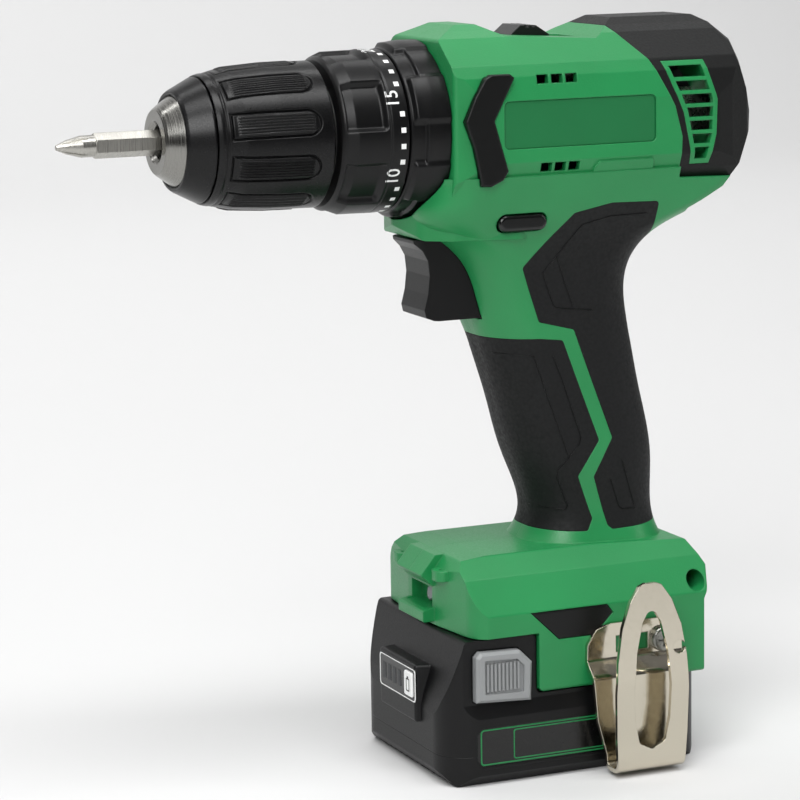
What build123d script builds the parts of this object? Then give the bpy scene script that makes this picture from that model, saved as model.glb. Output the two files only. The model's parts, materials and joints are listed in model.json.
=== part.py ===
from build123d import *
import os
from math import acos, cos, hypot, pi, radians, sin, tan

os.makedirs("parts", exist_ok=True)

# A pistol-grip cordless hammer drill, standing on its battery. Millimetres.
# +Z is up, the bit points along -X, and -Y is the side that carries the belt hook.
# The origin is on the battery's base, under the middle of the foot.

# ---- driving dimensions -------------------------------------------------------------------
AXIS_Z = 192.0  # height of the chuck axis over the battery's base
GAP = 0.35  # between pieces that move past each other
RUN = 0.06  # radial clearance of a shaft in its bearing
FIT = 0.05  # between pieces that are fastened together

NOSE_X = -120.0  # front of the chuck
SLEEVE_X = -107.0  # front of the gripping sleeve
SLEEVE_END_X = -73.2  # rear of the gripping sleeve
CLUTCH_X = -71.0  # front of the clutch ring
CLUTCH_END_X = -51.2
MODE_X = -50.6  # front of the mode ring
HOUSING_X = -38.4  # front of the housing's barrel
CAP_END_X = 69.4  # rearmost point of the rear cap

CHUCK_R = 13.0  # steel chuck body
JAW_BORE_R = 5.07
SLEEVE_R = 21.4
CLUTCH_R = 23.9
MODE_R = 26.0
BARREL_HALF = 28.3  # half width of the barrel
WALL = 2.4  # moulded wall of the housing
CAP_WALL = 2.0
BUMPER_DEPTH = 1.6

BIT_FLATS = 6.35  # across the flats of a quarter-inch hexagon
BIT_OUT = 29.0  # how far the bit stands out of the chuck
BIT_LENGTH = 56.0

JAW_R = 3.2
JAW_TILT = 15.0  # degrees between a jaw and the axis
JAW_LENGTH = 19.0
JAWS = 3

NOSE_TUBE_R = 12.6  # gearbox nose that the clutch parts slide on
GEARBOX_R = 19.0
GEARBOX_END_X = 1.0
BEARING_R = 10.9
SPINDLE_R = 6.0

GEAR_MODULE = 0.6
SUN_TEETH = 12
PLANET_TEETH = 18
RING_TEETH = SUN_TEETH + 2 * PLANET_TEETH
GEAR_WIDTH = 8.0
PLANETS = 3
GEAR_X = -20.0  # front face of the gears
PRESSURE_ANGLE = radians(20)
BACKLASH = 0.16

MOTOR_R = 18.0
MOTOR_X = 4.0
MOTOR_END_X = 52.0
MOTOR_SHAFT_R = 2.0

GRIP_HALF = 16.6  # half width of the grip
RUBBER = 1.6  # thickness of the moulded-on grip rubber

FOOT_HALF = 33.0
FOOT_X = -39.0
FOOT_END_X = 39.5
FOOT_CEILING_Z = 44.2  # underside of the foot over the battery
SKIRT_Z = 26.2  # lower edge of the foot's side skirts
SKIRT_X = -16.0  # front edge of the side skirts
SKIRT_WALL = 5.0  # thick enough to take the hook's screw

BATTERY_HALF = 33.0
BATTERY_X = -46.0
BATTERY_END_X = 39.6
BATTERY_DECK_Z = SKIRT_Z - 0.4  # top of the low rear part
BATTERY_CORNER = 11.0
SEAM_Z = 9.0  # joint between the battery's two cases
SEAM_LOW_Z = 4.8  # the same, under the label
BATTERY_WALL = 2.0
CELL_R = 9.1
CELL_LENGTH = 65.0
CELLS = 3

TRIGGER_TRAVEL = 6.0
TRIGGER_HALF = 8.6
TRIGGER_TOP_Z = 160.0
TRIGGER_LOW_Z = 135.6
LATCH_TRAVEL = 2.0
GAUGE_TRAVEL = 0.7
SELECTOR_TRAVEL = 2.5
SPEED_TRAVEL = 7.5

HOOK_SHEET = 1.5
HOOK_GAP = 5.6  # free space between the hook's plate and its outer loop
HOOK_CENTRE_X = 15.0
HOOK_SCREW_R = 2.0
HOOK_TOP_Z = 45.0
HOOK_LOOP_TOP_Z = 58.5
HOOK_BASE_Z = 2.0

SCREW_R = 1.5
SCREW_BITE = 7.0  # how far a housing screw reaches into the left half
SCREW_HEAD_R = 2.9
LANYARD_R = 3.0
LANYARD_X = 37.6
LANYARD_Z = 54.0
HOOK_SCREW_X = 24.0
HOOK_SCREW_Z = 38.5
LAMP_R = 2.5
HOOK_STAND = 3.6  # how far the plate stands off below the foot's skirt
HOOK_EYE_HALF = 6.2
HOOK_EYE_LOW_Z = 8.0
HOOK_EYE_TOP_Z = 52.0
HOOK_EYE_SHAPE = [(0.70, 0.05), (0.95, 0.22), (1.0, 0.44), (0.84, 0.68), (0.50, 0.88)]
PAD_DEPTH = 1.2

CHUCK_END_X = -73.8
CHUCK_BORE_END_X = -90.0
SLEEVE_PANELS = 10
SPINDLE_X = -86.0
BIT_ROTATION = 30.0
CLUTCH_BORE_R = 17.4
CLUTCH_SCALLOPS = 6
NOSE_TUBE_X = -71.4
CASE_X = -50.2  # where the gearbox case steps out from its nose
NUT_X = -68.4
NUT_WIDTH = 4.0
SPRING_WIRE = 1.8
SPRING_TURNS = 5
CARRIER_WIDTH = 4.0
CARRIER_X = GEAR_X - CARRIER_WIDTH - 0.5
PIN_R = 2.0
HAMMER_X = -46.0
HAMMER_TEETH = 8
FAN_X = 55.4
FAN_R = 14.0
FAN_BLADES = 9
TRIGGER_END_X = -20.6
SWITCH_X = -12.6
SWITCH_Z = 147.0
CAPSULE_HALF = 25.0
DECK_TOP_Z = FOOT_CEILING_Z - GAP
LABEL_DEPTH = 0.7
GAUGE_DEPTH = 1.0
LATCH_RIBS = 9
BLADES = 3
BLADE_PITCH = 9.0
BLADE_X = 14.0
BLADE_LOW_Z = 34.0

LOOSE = 0.4  # by which one view of a shape stands clear of the view that cuts it
FLOOR = 2.0  # floor of the foot's hollow

CHUCK_LINE = Axis((0, 0, AXIS_Z), (1, 0, 0))
made = {}


# ---- shapes that the pieces are made from -------------------------------------------------
def outline(points, radius=0.0):
    """A closed flat face through the points, with its corners rounded."""
    face = make_face(Polyline(*points, close=True))
    if radius:
        face = fillet(face.vertices(), radius)
    return face


def prism_y(face, low, high):
    """A face drawn as (x, z), carried from y = low to y = high."""
    return extrude(Plane((0, high, 0), x_dir=(1, 0, 0), z_dir=(0, -1, 0)) * face, high - low)


def prism_z(face, low, high):
    """A face drawn as (x, y), carried from z = low to z = high."""
    return extrude(Pos(0, 0, low) * face, high - low)


def prism_x(face, low, high):
    """A face drawn as (y, z), carried from x = low to x = high."""
    return extrude(Plane((low, 0, 0), x_dir=(0, 1, 0), z_dir=(1, 0, 0)) * face, high - low)


def block(x, y, z):
    """A box between the given pairs of faces."""
    middle = Pos((x[0] + x[1]) / 2, (y[0] + y[1]) / 2, (z[0] + z[1]) / 2)
    return middle * Box(x[1] - x[0], y[1] - y[0], z[1] - z[0])


def bar_x(low, high, radius, y=0.0, z=AXIS_Z):
    return Pos((low + high) / 2, y, z) * Rot(0, 90, 0) * Cylinder(radius, high - low)


def bar_y(low, high, radius, x, z):
    return Pos(x, (low + high) / 2, z) * Rot(90, 0, 0) * Cylinder(radius, high - low)


def bar_z(low, high, radius, x, y=0.0):
    return Pos(x, y, (low + high) / 2) * Cylinder(radius, high - low)


def tube_x(low, high, inner, outer):
    return bar_x(low, high, outer) - bar_x(low - 1, high + 1, inner)


def turned(*profile):
    """A solid turned about the chuck axis from (x, radius) points."""
    face = make_face(Polyline(*[(x, r, 0) for x, r in profile], close=True))
    return Pos(0, 0, AXIS_Z) * revolve(face, Axis.X)


def round_axis(shape, degrees):
    return shape.rotate(CHUCK_LINE, degrees)


def mirrored(shape):
    return mirror(shape, Plane.XZ)


def solid(shape):
    """The largest solid of a result, without any loose sliver."""
    return max(shape.solids(), key=lambda piece: piece.volume)


# ---- outer shapes of the body -------------------------------------------------------------
BARREL_LOW_Z = AXIS_Z - 22.5


def barrel_shape(inset=0.0):
    """The barrel: three flat views with rounded corners, cut out of each other."""
    side = outline([
        (HOUSING_X + inset, AXIS_Z - 26.0), (HOUSING_X + inset, AXIS_Z + 26.4 - inset),
        (-30.0, AXIS_Z + 30.2 - inset), (-23.5, AXIS_Z + 30.2 - inset),
        (-16.5, AXIS_Z + 26.8 - inset), (12.0, AXIS_Z + 25.2 - inset),
        (21.5, AXIS_Z + 30.6 - inset), (48.5, AXIS_Z + 30.6 - inset),
        (64.6 - inset, AXIS_Z + 21.0 - inset), (CAP_END_X - 1.6 - inset, AXIS_Z + 12.0),
        (CAP_END_X - inset, AXIS_Z + 2.0), (CAP_END_X - inset, AXIS_Z - 5.0),
        (CAP_END_X - 3.0 - inset, AXIS_Z - 15.0), (61.0 - inset, AXIS_Z - 20.6),
        (54.0 - inset, AXIS_Z - 24.6),
    ], 1.4)
    half = BARREL_HALF - inset
    end_on = [
        (15.5, AXIS_Z + 26.6 - inset), (25.0, AXIS_Z + 19.2 - inset),
        (half - 1.3, AXIS_Z + 15.6 - inset), (half, AXIS_Z + 8.0), (half, AXIS_Z - 9.0),
        (half - 1.5, AXIS_Z - 13.5), (half - 5.5, AXIS_Z - 21.0), (half - 8.0, AXIS_Z - 26.0),
    ]
    ridge = [(7.5, AXIS_Z + 31.0 - inset), (11.5, AXIS_Z + 28.6 - inset)]
    right = ridge + end_on
    front_view = outline([(-y, z) for y, z in reversed(right)] + right, 1.2)
    plan_right = [
        (HOUSING_X + inset, MODE_R + 0.4 - inset), (-26.0, half + LOOSE), (44.0, half + LOOSE),
        (52.0 - inset, half - 0.6), (58.6 - inset, half - 3.6), (64.2 - inset, half - 10.2),
        (CAP_END_X - 0.8 - inset, half - 18.6), (CAP_END_X + LOOSE - inset, half - 22.0),
    ]
    plan = outline(plan_right + [(x, -y) for x, y in reversed(plan_right)], 1.4)
    shape = prism_y(side, -40, 40) & prism_x(front_view, -60, 90)
    shape = shape & prism_z(plan, AXIS_Z - 40, AXIS_Z + 40)
    return rounded_rear(shape, inset)


# How far the rear of the head reaches in its two slanting views: distance, height over the axis.
REAR_REACH = [
    (34.0, 45.0), (46.0, 33.4), (58.0, 22.6), (61.0, 16.0), (63.0, 9.0), (64.0, 2.0), (63.8, -4.0),
    (61.0, -13.0), (56.0, -19.8), (49.6, -23.8), (45.6, -26.0), (43.2, -29.8), (35.6, -32.4),
    (31.4, -36.4), (28.4, -41.0), (27.0, -48.0), (27.4, -60.0), (29.6, -70.0), (60.0, -84.0),
    (60.0, -160.0),
]
REAR_TURN = 28.7  # degrees of the slanting views from the side view


def rounded_rear(shape, inset=0.0):
    """Draws the rear of the head in towards its middle, on both sides."""
    reach = [(x - inset, AXIS_Z + z) for x, z in REAR_REACH]
    view = outline(reach + [(-90.0, AXIS_Z - 160.0), (-90.0, AXIS_Z + 45.0)], 1.4)
    prism = prism_y(view, -90, 90)
    for turn in (-REAR_TURN, REAR_TURN):
        shape = shape & prism.rotate(Axis.Z, turn)
    return shape


# Grip stations: height, front x, rear x, half width, corner share of the half width.
GRIP_STATIONS = [
    (60.0, -13.0, 41.5, GRIP_HALF + 5.5, 0.80),
    (67.0, -7.0, 37.6, GRIP_HALF + 0.9, 0.86),
    (73.0, -4.6, 36.2, GRIP_HALF - 0.4, 0.90),
    (88.0, -8.4, 36.0, GRIP_HALF - 0.2, 0.90),
    (104.0, -13.6, 33.6, GRIP_HALF, 0.90),
    (118.0, -17.6, 30.4, GRIP_HALF, 0.88),
    (129.0, -21.0, 28.0, GRIP_HALF + 0.2, 0.84),
    (140.0, -24.6, 26.0, GRIP_HALF + 0.8, 0.78),
    (151.0, -28.0, 27.4, GRIP_HALF + 2.0, 0.70),
    (159.0, -35.0, 34.0, GRIP_HALF + 4.2, 0.62),
    (166.0, -44.0, 47.0, GRIP_HALF + 7.4, 0.52),
    (172.5, -44.0, 58.0, GRIP_HALF + 9.6, 0.46),
    (179.0, -42.0, 62.5, BARREL_HALF - 0.3, 0.40),
]


def grip_loft(inset=0.0):
    """The grip, lofted through rounded sections up into the barrel."""
    rings = []
    for height, front, rear, half, share in GRIP_STATIONS:
        length = rear - front - 2 * inset
        width = 2 * (half - inset)
        corner = share * (half - inset)
        middle = Plane(origin=((front + rear) / 2, 0, height), z_dir=(0, 0, 1))
        rings.append(middle * RectangleRounded(length, width, corner))
    return loft(rings)


def foot_shape(inset=0.0):
    """The foot over the battery, with its sloping shoulders and side skirts."""
    half = FOOT_HALF - inset
    low = FOOT_CEILING_Z + FLOOR if inset else SKIRT_Z
    side = outline([
        (FOOT_X + inset, low), (FOOT_X + inset, 61.0 - inset), (FOOT_X + 3.4 + inset, 65.6 - inset),
        (-16.0, 67.0 - inset), (39.0 - inset, 65.0 - inset), (42.4 - inset, 58.0),
        (FOOT_END_X + 1.4 - inset, 52.0), (FOOT_END_X - inset, 48.6), (FOOT_END_X - inset, low),
    ], 0.8)
    ends = [(half, low), (half, 50.8), (half - 6.4, 60.8), (half - 13.0, 66.2 - inset)]
    front_view = outline([(-y, z) for y, z in ends] + [(y, z) for y, z in reversed(ends)], 1.2)
    wide = half + LOOSE
    bow = [(FOOT_X + inset, 10.0 - inset), (FOOT_X + 2.6 + inset, wide), (46.0 - inset, wide)]
    plan = outline(bow + [(x, -y) for x, y in reversed(bow)], 7.0 - min(inset, 4.0))
    shape = prism_y(side, -40, 40) & prism_x(front_view, -60, 60) & prism_z(plan, 0, 80)
    front_cut = outline([
        (FOOT_X - 5, 0), (SKIRT_X + 1.2, 0), (SKIRT_X + 1.2, SKIRT_Z), (SKIRT_X, SKIRT_Z + 1.2),
        (SKIRT_X, FOOT_CEILING_Z), (FOOT_X - 5, FOOT_CEILING_Z)])
    return shape - prism_y(front_cut, -40, 40)


def grip_skin(inset=0.0):
    return rounded_rear(grip_loft(inset), inset)


def body_shape():
    """The whole outer skin of the two housing halves, before rubber and cap are let in."""
    bulge = outline([
        (-47.0, AXIS_Z - 25.5), (-47.0, AXIS_Z - 28.0), (-43.0, TRIGGER_TOP_Z + GAP),
        (-30.0, TRIGGER_TOP_Z + GAP), (-10.0, TRIGGER_TOP_Z), (-10.0, AXIS_Z - 15.0),
        (-47.0, AXIS_Z - 15.0),
    ], 1.6)
    bulge_plan = outline([(-47.0, 0), (-44.0, 13.0), (-36.0, 19.5), (-12.0, 24.0),
                          (-12.0, -24.0), (-36.0, -19.5), (-44.0, -13.0)], 5.0)
    chin = prism_y(bulge, -30, 30) & prism_z(bulge_plan, AXIS_Z - 50, AXIS_Z)
    body = barrel_shape() + grip_skin() + foot_shape() + chin
    body = body - bar_x(NOSE_X, HOUSING_X, MODE_R + GAP)
    return body


def cap_region(low, high):
    """The stretch of the barrel that the rear cap covers, between two widths."""
    edge = outline([
        (13.4, AXIS_Z + 33.0), (18.0, AXIS_Z + 28.0), (25.2, AXIS_Z + 18.7),
        (32.4, AXIS_Z + 5.1), (34.8, AXIS_Z - 4.0), (34.3, AXIS_Z - 16.2),
        (CAP_END_X + 5, AXIS_Z - 17.4), (CAP_END_X + 5, AXIS_Z + 33.0),
    ], 0.5)
    return prism_y(edge, low, high)


def front_rubber_region():
    """Where the front grip rubber lies, seen from the side."""
    return prism_y(outline([
        (-32.0, 130.0), (-19.0, 129.6), (-7.0, 129.2), (0.6, 128.2), (12.6, 96.9), (5.6, 86.4),
        (10.4, 73.0), (8.6, 69.4), (-20.0, 70.6), (-32.0, 80.0),
    ], 1.2), -30, 30)


def rear_rubber_region():
    """Where the rear grip rubber lies, seen from the side."""
    return prism_y(outline([
        (28.6, 169.0), (13.0, 169.4), (1.0, 167.0), (-13.4, 151.0), (-7.4, 134.2), (4.2, 131.2),
        (17.0, 97.3), (10.9, 85.8), (15.4, 70.4), (17.0, 69.2), (45.0, 70.0), (45.0, 120.0),
        (33.0, 140.0), (31.0, 152.0), (28.6, 162.0),
    ], 1.2), -40, 40)


def stadium(x0, x1, z0, z1):
    """A long hole's outline between two corners, with round ends."""
    return Pos((x0 + x1) / 2, (z0 + z1) / 2) * SlotOverall(x1 - x0, z1 - z0)


# ---- housing ------------------------------------------------------------------------------
CHEVRON = [
    (-29.6, 15.6), (-27.6, 16.7), (-21.6, 16.7), (-20.2, 15.6), (-26.6, 3.4), (-22.3, -11.2),
    (-24.0, -13.7), (-27.8, -15.4), (-30.9, -15.2), (-33.2, -3.9), (-35.8, 3.5), (-32.8, 10.4),
]
PLATE = (-23.3, 26.0, -5.0, 8.8)  # name plate: x from, x to, height over the axis from, to
PLATE_DEPTH = 0.9
VENT_ROWS = [(-12.4, 0.6, 13.4, 16.0), (-11.6, 1.0, -12.0, -9.4)]
VENT_SLOTS = 3
VENT_BAR = 0.9
WINDOW = [(28.8, 18.2), (43.0, 18.2), (46.6, 6.5), (46.2, -3.9), (44.0, -12.4), (37.6, -12.4),
          (37.4, -7.6), (35.2, 3.0), (31.6, 11.3)]
WINDOW_SLOTS = 7
PAD = [(-18.8, 50.6), (6.6, 50.6), (8.6, 47.9), (2.4, 41.6), (-9.5, 41.6)]
CAPSULE = (-23.7, -8.1, AXIS_Z - 29.4, AXIS_Z - 24.4)
SLOT_X = (-11.5, 11.5)  # opening of the speed selector
SLOT_HALF = 6.4
# Screw posts: x, height, and how far from the middle the screw's head seats.
SCREW_POSTS = [
    (-20.0, AXIS_Z + 22.8, 16.0), (16.0, AXIS_Z + 22.8, 16.0), (15.0, 150.0, 14.0),
    (-9.0, 127.0, 12.0), (25.0, 104.0, 11.0), (23.0, 78.0, 11.0), (-29.0, 53.0, 22.0),
    (29.6, 54.0, 22.0),
]
POST_WALL = 2.0
MOTOR_SADDLES = [(9.0, 12.0), (42.0, 45.0)]


def chevron(low, high, grow=0.0):
    face = outline([(x, AXIS_Z + z) for x, z in CHEVRON])
    if grow:
        face = offset(face, grow)
    return prism_y(face, low, high)


def window(low, high, grow=0.0):
    face = outline([(x, AXIS_Z + z) for x, z in WINDOW])
    if grow:
        face = offset(face, grow, kind=Kind.INTERSECTION)
    return prism_y(face, low, high)


def vent_slots():
    """The short cooling slots over and under the name plate, through both sides."""
    slots = []
    for x0, x1, low, high in VENT_ROWS:
        width = (x1 - x0 - (VENT_SLOTS - 1) * VENT_BAR) / VENT_SLOTS
        for i in range(VENT_SLOTS):
            start = x0 + i * (width + VENT_BAR)
            slots.append(block((start, start + width), (-40, 40), (AXIS_Z + low, AXIS_Z + high)))
    return slots


def housing_cavity():
    """The hollow inside the two halves, less the saddles that hold the motor."""
    barrel = barrel_shape(WALL) & block((HOUSING_X + 3.4, CAP_END_X), (-40, 40), (BARREL_LOW_Z - 5, 230))
    for x0, x1 in MOTOR_SADDLES:
        barrel = barrel - tube_x(x0, x1, MOTOR_R + FIT, 40)
    grip = grip_skin(RUBBER + WALL) & block((-60, 60), (-40, 40), (58, AXIS_Z - 15))
    return barrel + grip + foot_shape(WALL)


def screw_posts():
    """Solid posts across the hollow, one for each housing screw."""
    return [bar_y(-40, 40, SCREW_R + POST_WALL, x, z) for x, z, _ in SCREW_POSTS]


def screw_wells():
    """Where the housing screws and their heads go, from the right side."""
    wells = []
    for x, z, seat in SCREW_POSTS:
        wells.append(bar_y(-SCREW_BITE - 1, seat + 1, SCREW_R, x, z))
        wells.append(bar_y(seat, 45, SCREW_HEAD_R + GAP, x, z))
    return wells


def trigger_opening():
    """The slot in the front of the grip that the trigger slides in."""
    half = TRIGGER_HALF + GAP
    return block((-60, -13), (-half, half), (TRIGGER_LOW_Z - GAP, TRIGGER_TOP_Z + GAP))


LAMP_BAY = (FOOT_X + 3.4, 9.0, 48.8, 55.0)  # recess under the brow: rear, half width, height from, to


def led_brow():
    """The brow over the lamp's recess and the lip under it."""
    half = LAMP_BAY[1]
    brow = outline([(FOOT_X - 4.4, 59.6), (FOOT_X + 0.4, 65.4), (FOOT_X + 12, 65.8),
                    (FOOT_X + 12, 56.0), (FOOT_X - 0.4, 56.0)], 0.5)
    lip = outline([(FOOT_X - 3.8, FOOT_CEILING_Z + 1.0), (FOOT_X - 3.8, 48.6), (FOOT_X + 2, 50.0),
                   (FOOT_X + 2, FOOT_CEILING_Z + 1.0)], 0.5)
    return prism_y(brow, -half, half) + prism_y(lip, -half, half)


def lamp_bay():
    """The recess that the lamp sits in, open to the front."""
    rear, half, low, high = LAMP_BAY
    return prism_y(outline([(FOOT_X - 9, low), (rear, low + 0.4), (rear, high - 0.6),
                            (FOOT_X - 9, high + 2.6)], 0.4), -half + 1.6, half - 1.6)


def lamp_holder():
    """Solid wall behind the recess."""
    rear, half, low, high = LAMP_BAY
    return block((FOOT_X, rear + 4.0), (-half, half), (low - 3.0, high + 3.0))


LUG = (-41.4, 14.0, 59.0, 62.0)  # strap lug: front, distance from the middle, height from, to
LUG_HOLE_R = 1.1


def strap_lug(side):
    front, out, low, high = LUG
    tab = block((front, FOOT_X + 8), (out - 3.4, out + 3.4), (low, high))
    tab = fillet(tab.edges().filter_by(Axis.Z).group_by(Axis.X)[0], 2.6)
    tab = tab - bar_z(low - 5, high + 5, LUG_HOLE_R, front + 3.0, out)
    return tab if side > 0 else mirrored(tab)


def whole_housing():
    """Both halves as one skin with every recess and hole cut, before it is split."""
    skin = body_shape()
    badge = outline([(5.6, -18.9), (25.2, -18.9), (25.2, -9.8), (7.4, -9.8), (5.6, -12.0)], 0.8)
    skin = skin + (barrel_shape(-0.7) & Pos(0, 0, AXIS_Z) * prism_y(badge, -40, 40))
    skin = skin + led_brow() + strap_lug(1) + strap_lug(-1)
    lanyard_wall = bar_y(-40, 40, LANYARD_R + POST_WALL, LANYARD_X, LANYARD_Z)
    posts = [post & skin for post in screw_posts() + [lanyard_wall, lamp_holder()]]
    body = skin - housing_cavity() + posts

    body = body - (cap_region(-40, 40) - barrel_shape(CAP_WALL))
    rubber = front_rubber_region() + rear_rubber_region()
    body = body - (rubber - grip_skin(RUBBER))
    x0, x1, low, high = PLATE
    plate = outline([(x0, low), (x1, low), (x1, high), (x0, high)], 1.6)
    plate_floor = BARREL_HALF - PLATE_DEPTH
    for near, far in ((plate_floor, 40), (-40, -plate_floor)):
        body = body - Pos(0, 0, AXIS_Z) * prism_y(plate, near, far)
    bumper_floor = BARREL_HALF - BUMPER_DEPTH
    body = body - chevron(bumper_floor, 40, FIT) - chevron(-40, -bumper_floor, FIT)
    pad_floor = FOOT_HALF - PAD_DEPTH
    body = body - prism_y(outline(PAD), pad_floor, 40) - prism_y(outline(PAD), -40, -pad_floor)

    reach = FOOT_HALF - SKIRT_WALL
    body = body - block((SKIRT_X - 5, BATTERY_END_X - 3.6), (-reach, reach), (0, FOOT_CEILING_Z))
    blades = BLADE_PITCH * BLADES / 2
    body = body - block((BLADE_X - 1, BLADE_X + 9), (-blades, blades), (40, FOOT_CEILING_Z + FLOOR + 1))
    body = body - screw_wells()
    body = body - bar_x(HOUSING_X - 1, GEARBOX_END_X + FIT, GEARBOX_R + FIT)
    body = body - bar_x(GEARBOX_END_X, MOTOR_END_X + 8, MOTOR_R + FIT)
    body = body - vent_slots() - window(-40, 40, -1.2)
    x0, x1, low, high = CAPSULE
    capsule = stadium(x0 - GAP, x1 + GAP, low - GAP, high + GAP)
    body = body - prism_y(capsule, -40, 40)
    body = body - trigger_opening() - lamp_bay() - lamp_seat(FIT)
    top = AXIS_Z + 20
    body = body - block(SLOT_X, (-SLOT_HALF, SLOT_HALF), (top, top + 20))
    for side in (1, -1):
        body = body - bar_y(*sorted((side * (FOOT_HALF + 5), side * (FOOT_HALF - SKIRT_WALL - 1))),
                            HOOK_SCREW_R, HOOK_SCREW_X, HOOK_SCREW_Z)
    body = body - bar_y(-40, 40, LANYARD_R, LANYARD_X, LANYARD_Z)
    return body


def lamp_seat(grow=0.0):
    """The lamp's round body, tilted up a little from the rear of its recess."""
    place = Plane(origin=(LAMP_BAY[0], 0, 52.0), z_dir=(-1, 0, 0.2))
    return place * Pos(0, 0, -1.6) * Cylinder(LAMP_R + grow, 4.6)


def housing_halves():
    body = whole_housing()
    left = body & block((-60, 90), (-60, 0), (0, 260))
    right = body & block((-60, 90), (0, 60), (0, 260))
    made["housing_left"] = solid(left)
    made["housing_right"] = solid(right)


def rear_cap():
    shell = (barrel_shape() & cap_region(-40, 40)) - barrel_shape(CAP_WALL)
    made["rear_cap"] = solid(shell - window(-40, 40, FIT))


def vent_grilles():
    """Louvred windows in the cap, one on each side."""
    frame = window(-40, 40) - window(-40, 40, -1.5)
    heights = [z for _, z in WINDOW]
    pitch = (max(heights) - min(heights) - 3.0) / WINDOW_SLOTS
    for i in range(1, WINDOW_SLOTS):
        z = AXIS_Z + min(heights) + 1.5 + i * pitch
        frame = frame + (window(-40, 40) & block((20, 60), (-40, 40), (z - 0.55, z + 0.55)))
    frame = frame & (barrel_shape() - barrel_shape(CAP_WALL))
    made["vent_grilles"] = frame


def name_plates():
    x0, x1, low, high = PLATE
    face = outline([(x0 + FIT, low + FIT), (x1 - FIT, low + FIT), (x1 - FIT, high - FIT),
                    (x0 + FIT, high - FIT)], 1.5)
    floor = BARREL_HALF - PLATE_DEPTH
    plate = Pos(0, 0, AXIS_Z) * prism_y(face, floor, floor + 0.5)
    made["name_plates"] = Compound([plate, mirrored(plate)])


def side_bumpers():
    """Soft chevrons that keep the tool from sliding when it is laid on its side."""
    floor = BARREL_HALF - BUMPER_DEPTH
    pad = chevron(floor, BARREL_HALF + 0.7)
    pad = fillet(pad.faces().sort_by(Axis.Y)[-1].edges(), 0.6)
    made["side_bumpers"] = Compound([pad, mirrored(pad)])


def foot_pads():
    floor = FOOT_HALF - PAD_DEPTH
    pad = prism_y(offset(outline(PAD), -FIT, kind=Kind.INTERSECTION), floor, FOOT_HALF)
    pad = fillet(pad.faces().sort_by(Axis.Y)[-1].edges(), 0.5)
    made["foot_pads"] = Compound([pad, mirrored(pad)])


def grip_rubbers():
    layer = grip_skin() - grip_skin(RUBBER)
    layer = layer - barrel_shape() - foot_shape()
    wells = screw_wells()
    made["front_grip"] = solid((layer & front_rubber_region()) - wells - trigger_opening())
    made["rear_grip"] = solid((layer & rear_rubber_region()) - wells)


def housing_screws():
    screws = []
    for x, z, seat in SCREW_POSTS:
        screw = bar_y(-SCREW_BITE, seat, SCREW_R, x, z) + bar_y(seat, seat + 2.2, SCREW_HEAD_R, x, z)
        socket = Pos(x, seat + 2.2, z) * Box(3.0, 2.4, 0.8) + Pos(x, seat + 2.2, z) * Box(0.8, 2.4, 3.0)
        screws.append(solid(screw - socket))
    made["housing_screws"] = Compound(screws)


def led_lamp():
    lens = lamp_seat()
    made["led_lamp"] = fillet(lens.edges().sort_by(Axis.X)[0], 0.5)


# ---- chuck --------------------------------------------------------------------------------
def jaw_line_radius(x):
    """Distance of a jaw's own centre line from the chuck axis."""
    return BIT_FLATS / 2 + 1.3 + (x - NOSE_X - 3.0) * tan(radians(JAW_TILT))


def jaw_rod(radius, start, length):
    """A rod along a jaw's line, over the axis, from a distance behind the nose."""
    x = NOSE_X + start
    place = Plane(origin=(x, 0, AXIS_Z + jaw_line_radius(x)),
                  z_dir=(cos(radians(JAW_TILT)), 0, sin(radians(JAW_TILT))))
    return place * Pos(0, 0, length / 2) * Cylinder(radius, length)


def jaw_angle(i):
    """How far jaw i is turned about the axis: the first one closes on the bit's left flat."""
    return 90 + i * 360 / JAWS


def chuck_body():
    body = turned(
        (NOSE_X + 0.3, 0), (NOSE_X + 0.3, 9.2), (NOSE_X + 1.0, 9.9), (NOSE_X + 5.4, CHUCK_R),
        (CHUCK_END_X, CHUCK_R), (CHUCK_END_X, 0))
    body = body - bar_x(NOSE_X - 1, CHUCK_BORE_END_X, JAW_BORE_R)
    body = body - bar_x(SPINDLE_X, CHUCK_END_X + 1, SPINDLE_R)
    mouth = turned((NOSE_X, 0), (NOSE_X, JAW_BORE_R + 1.4), (NOSE_X + 1.7, JAW_BORE_R), (NOSE_X + 1.7, 0))
    body = body - mouth
    for i in range(JAWS):
        body = body - round_axis(jaw_rod(JAW_R + RUN, 2.6, JAW_LENGTH + 9.0), jaw_angle(i))
    made["chuck_body"] = solid(body)


def chuck_jaws():
    rod = jaw_rod(JAW_R, 3.0, JAW_LENGTH)
    flat = block((NOSE_X - 5, -60), (-20, 20), (AXIS_Z - 20, AXIS_Z + BIT_FLATS / 2 + 0.02))
    front = block((NOSE_X - 5, NOSE_X + 3.2), (-20, 20), (AXIS_Z - 20, AXIS_Z + 20))
    jaw = solid(rod - flat - front)
    for i in range(JAWS):
        made[f"chuck_jaw_{i + 1}"] = round_axis(jaw, jaw_angle(i))


def chuck_collar():
    """The plastic ring pressed on the chuck's front."""
    made["chuck_collar"] = turned(
        (NOSE_X + 5.6, CHUCK_R), (NOSE_X + 5.0, CHUCK_R + 0.5), (NOSE_X + 5.0, CHUCK_R + 1.2),
        (NOSE_X + 5.8, CHUCK_R + 1.8), (SLEEVE_X - 0.9, 18.0), (SLEEVE_X - GAP, 18.0),
        (SLEEVE_X - GAP, CHUCK_R))


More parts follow.
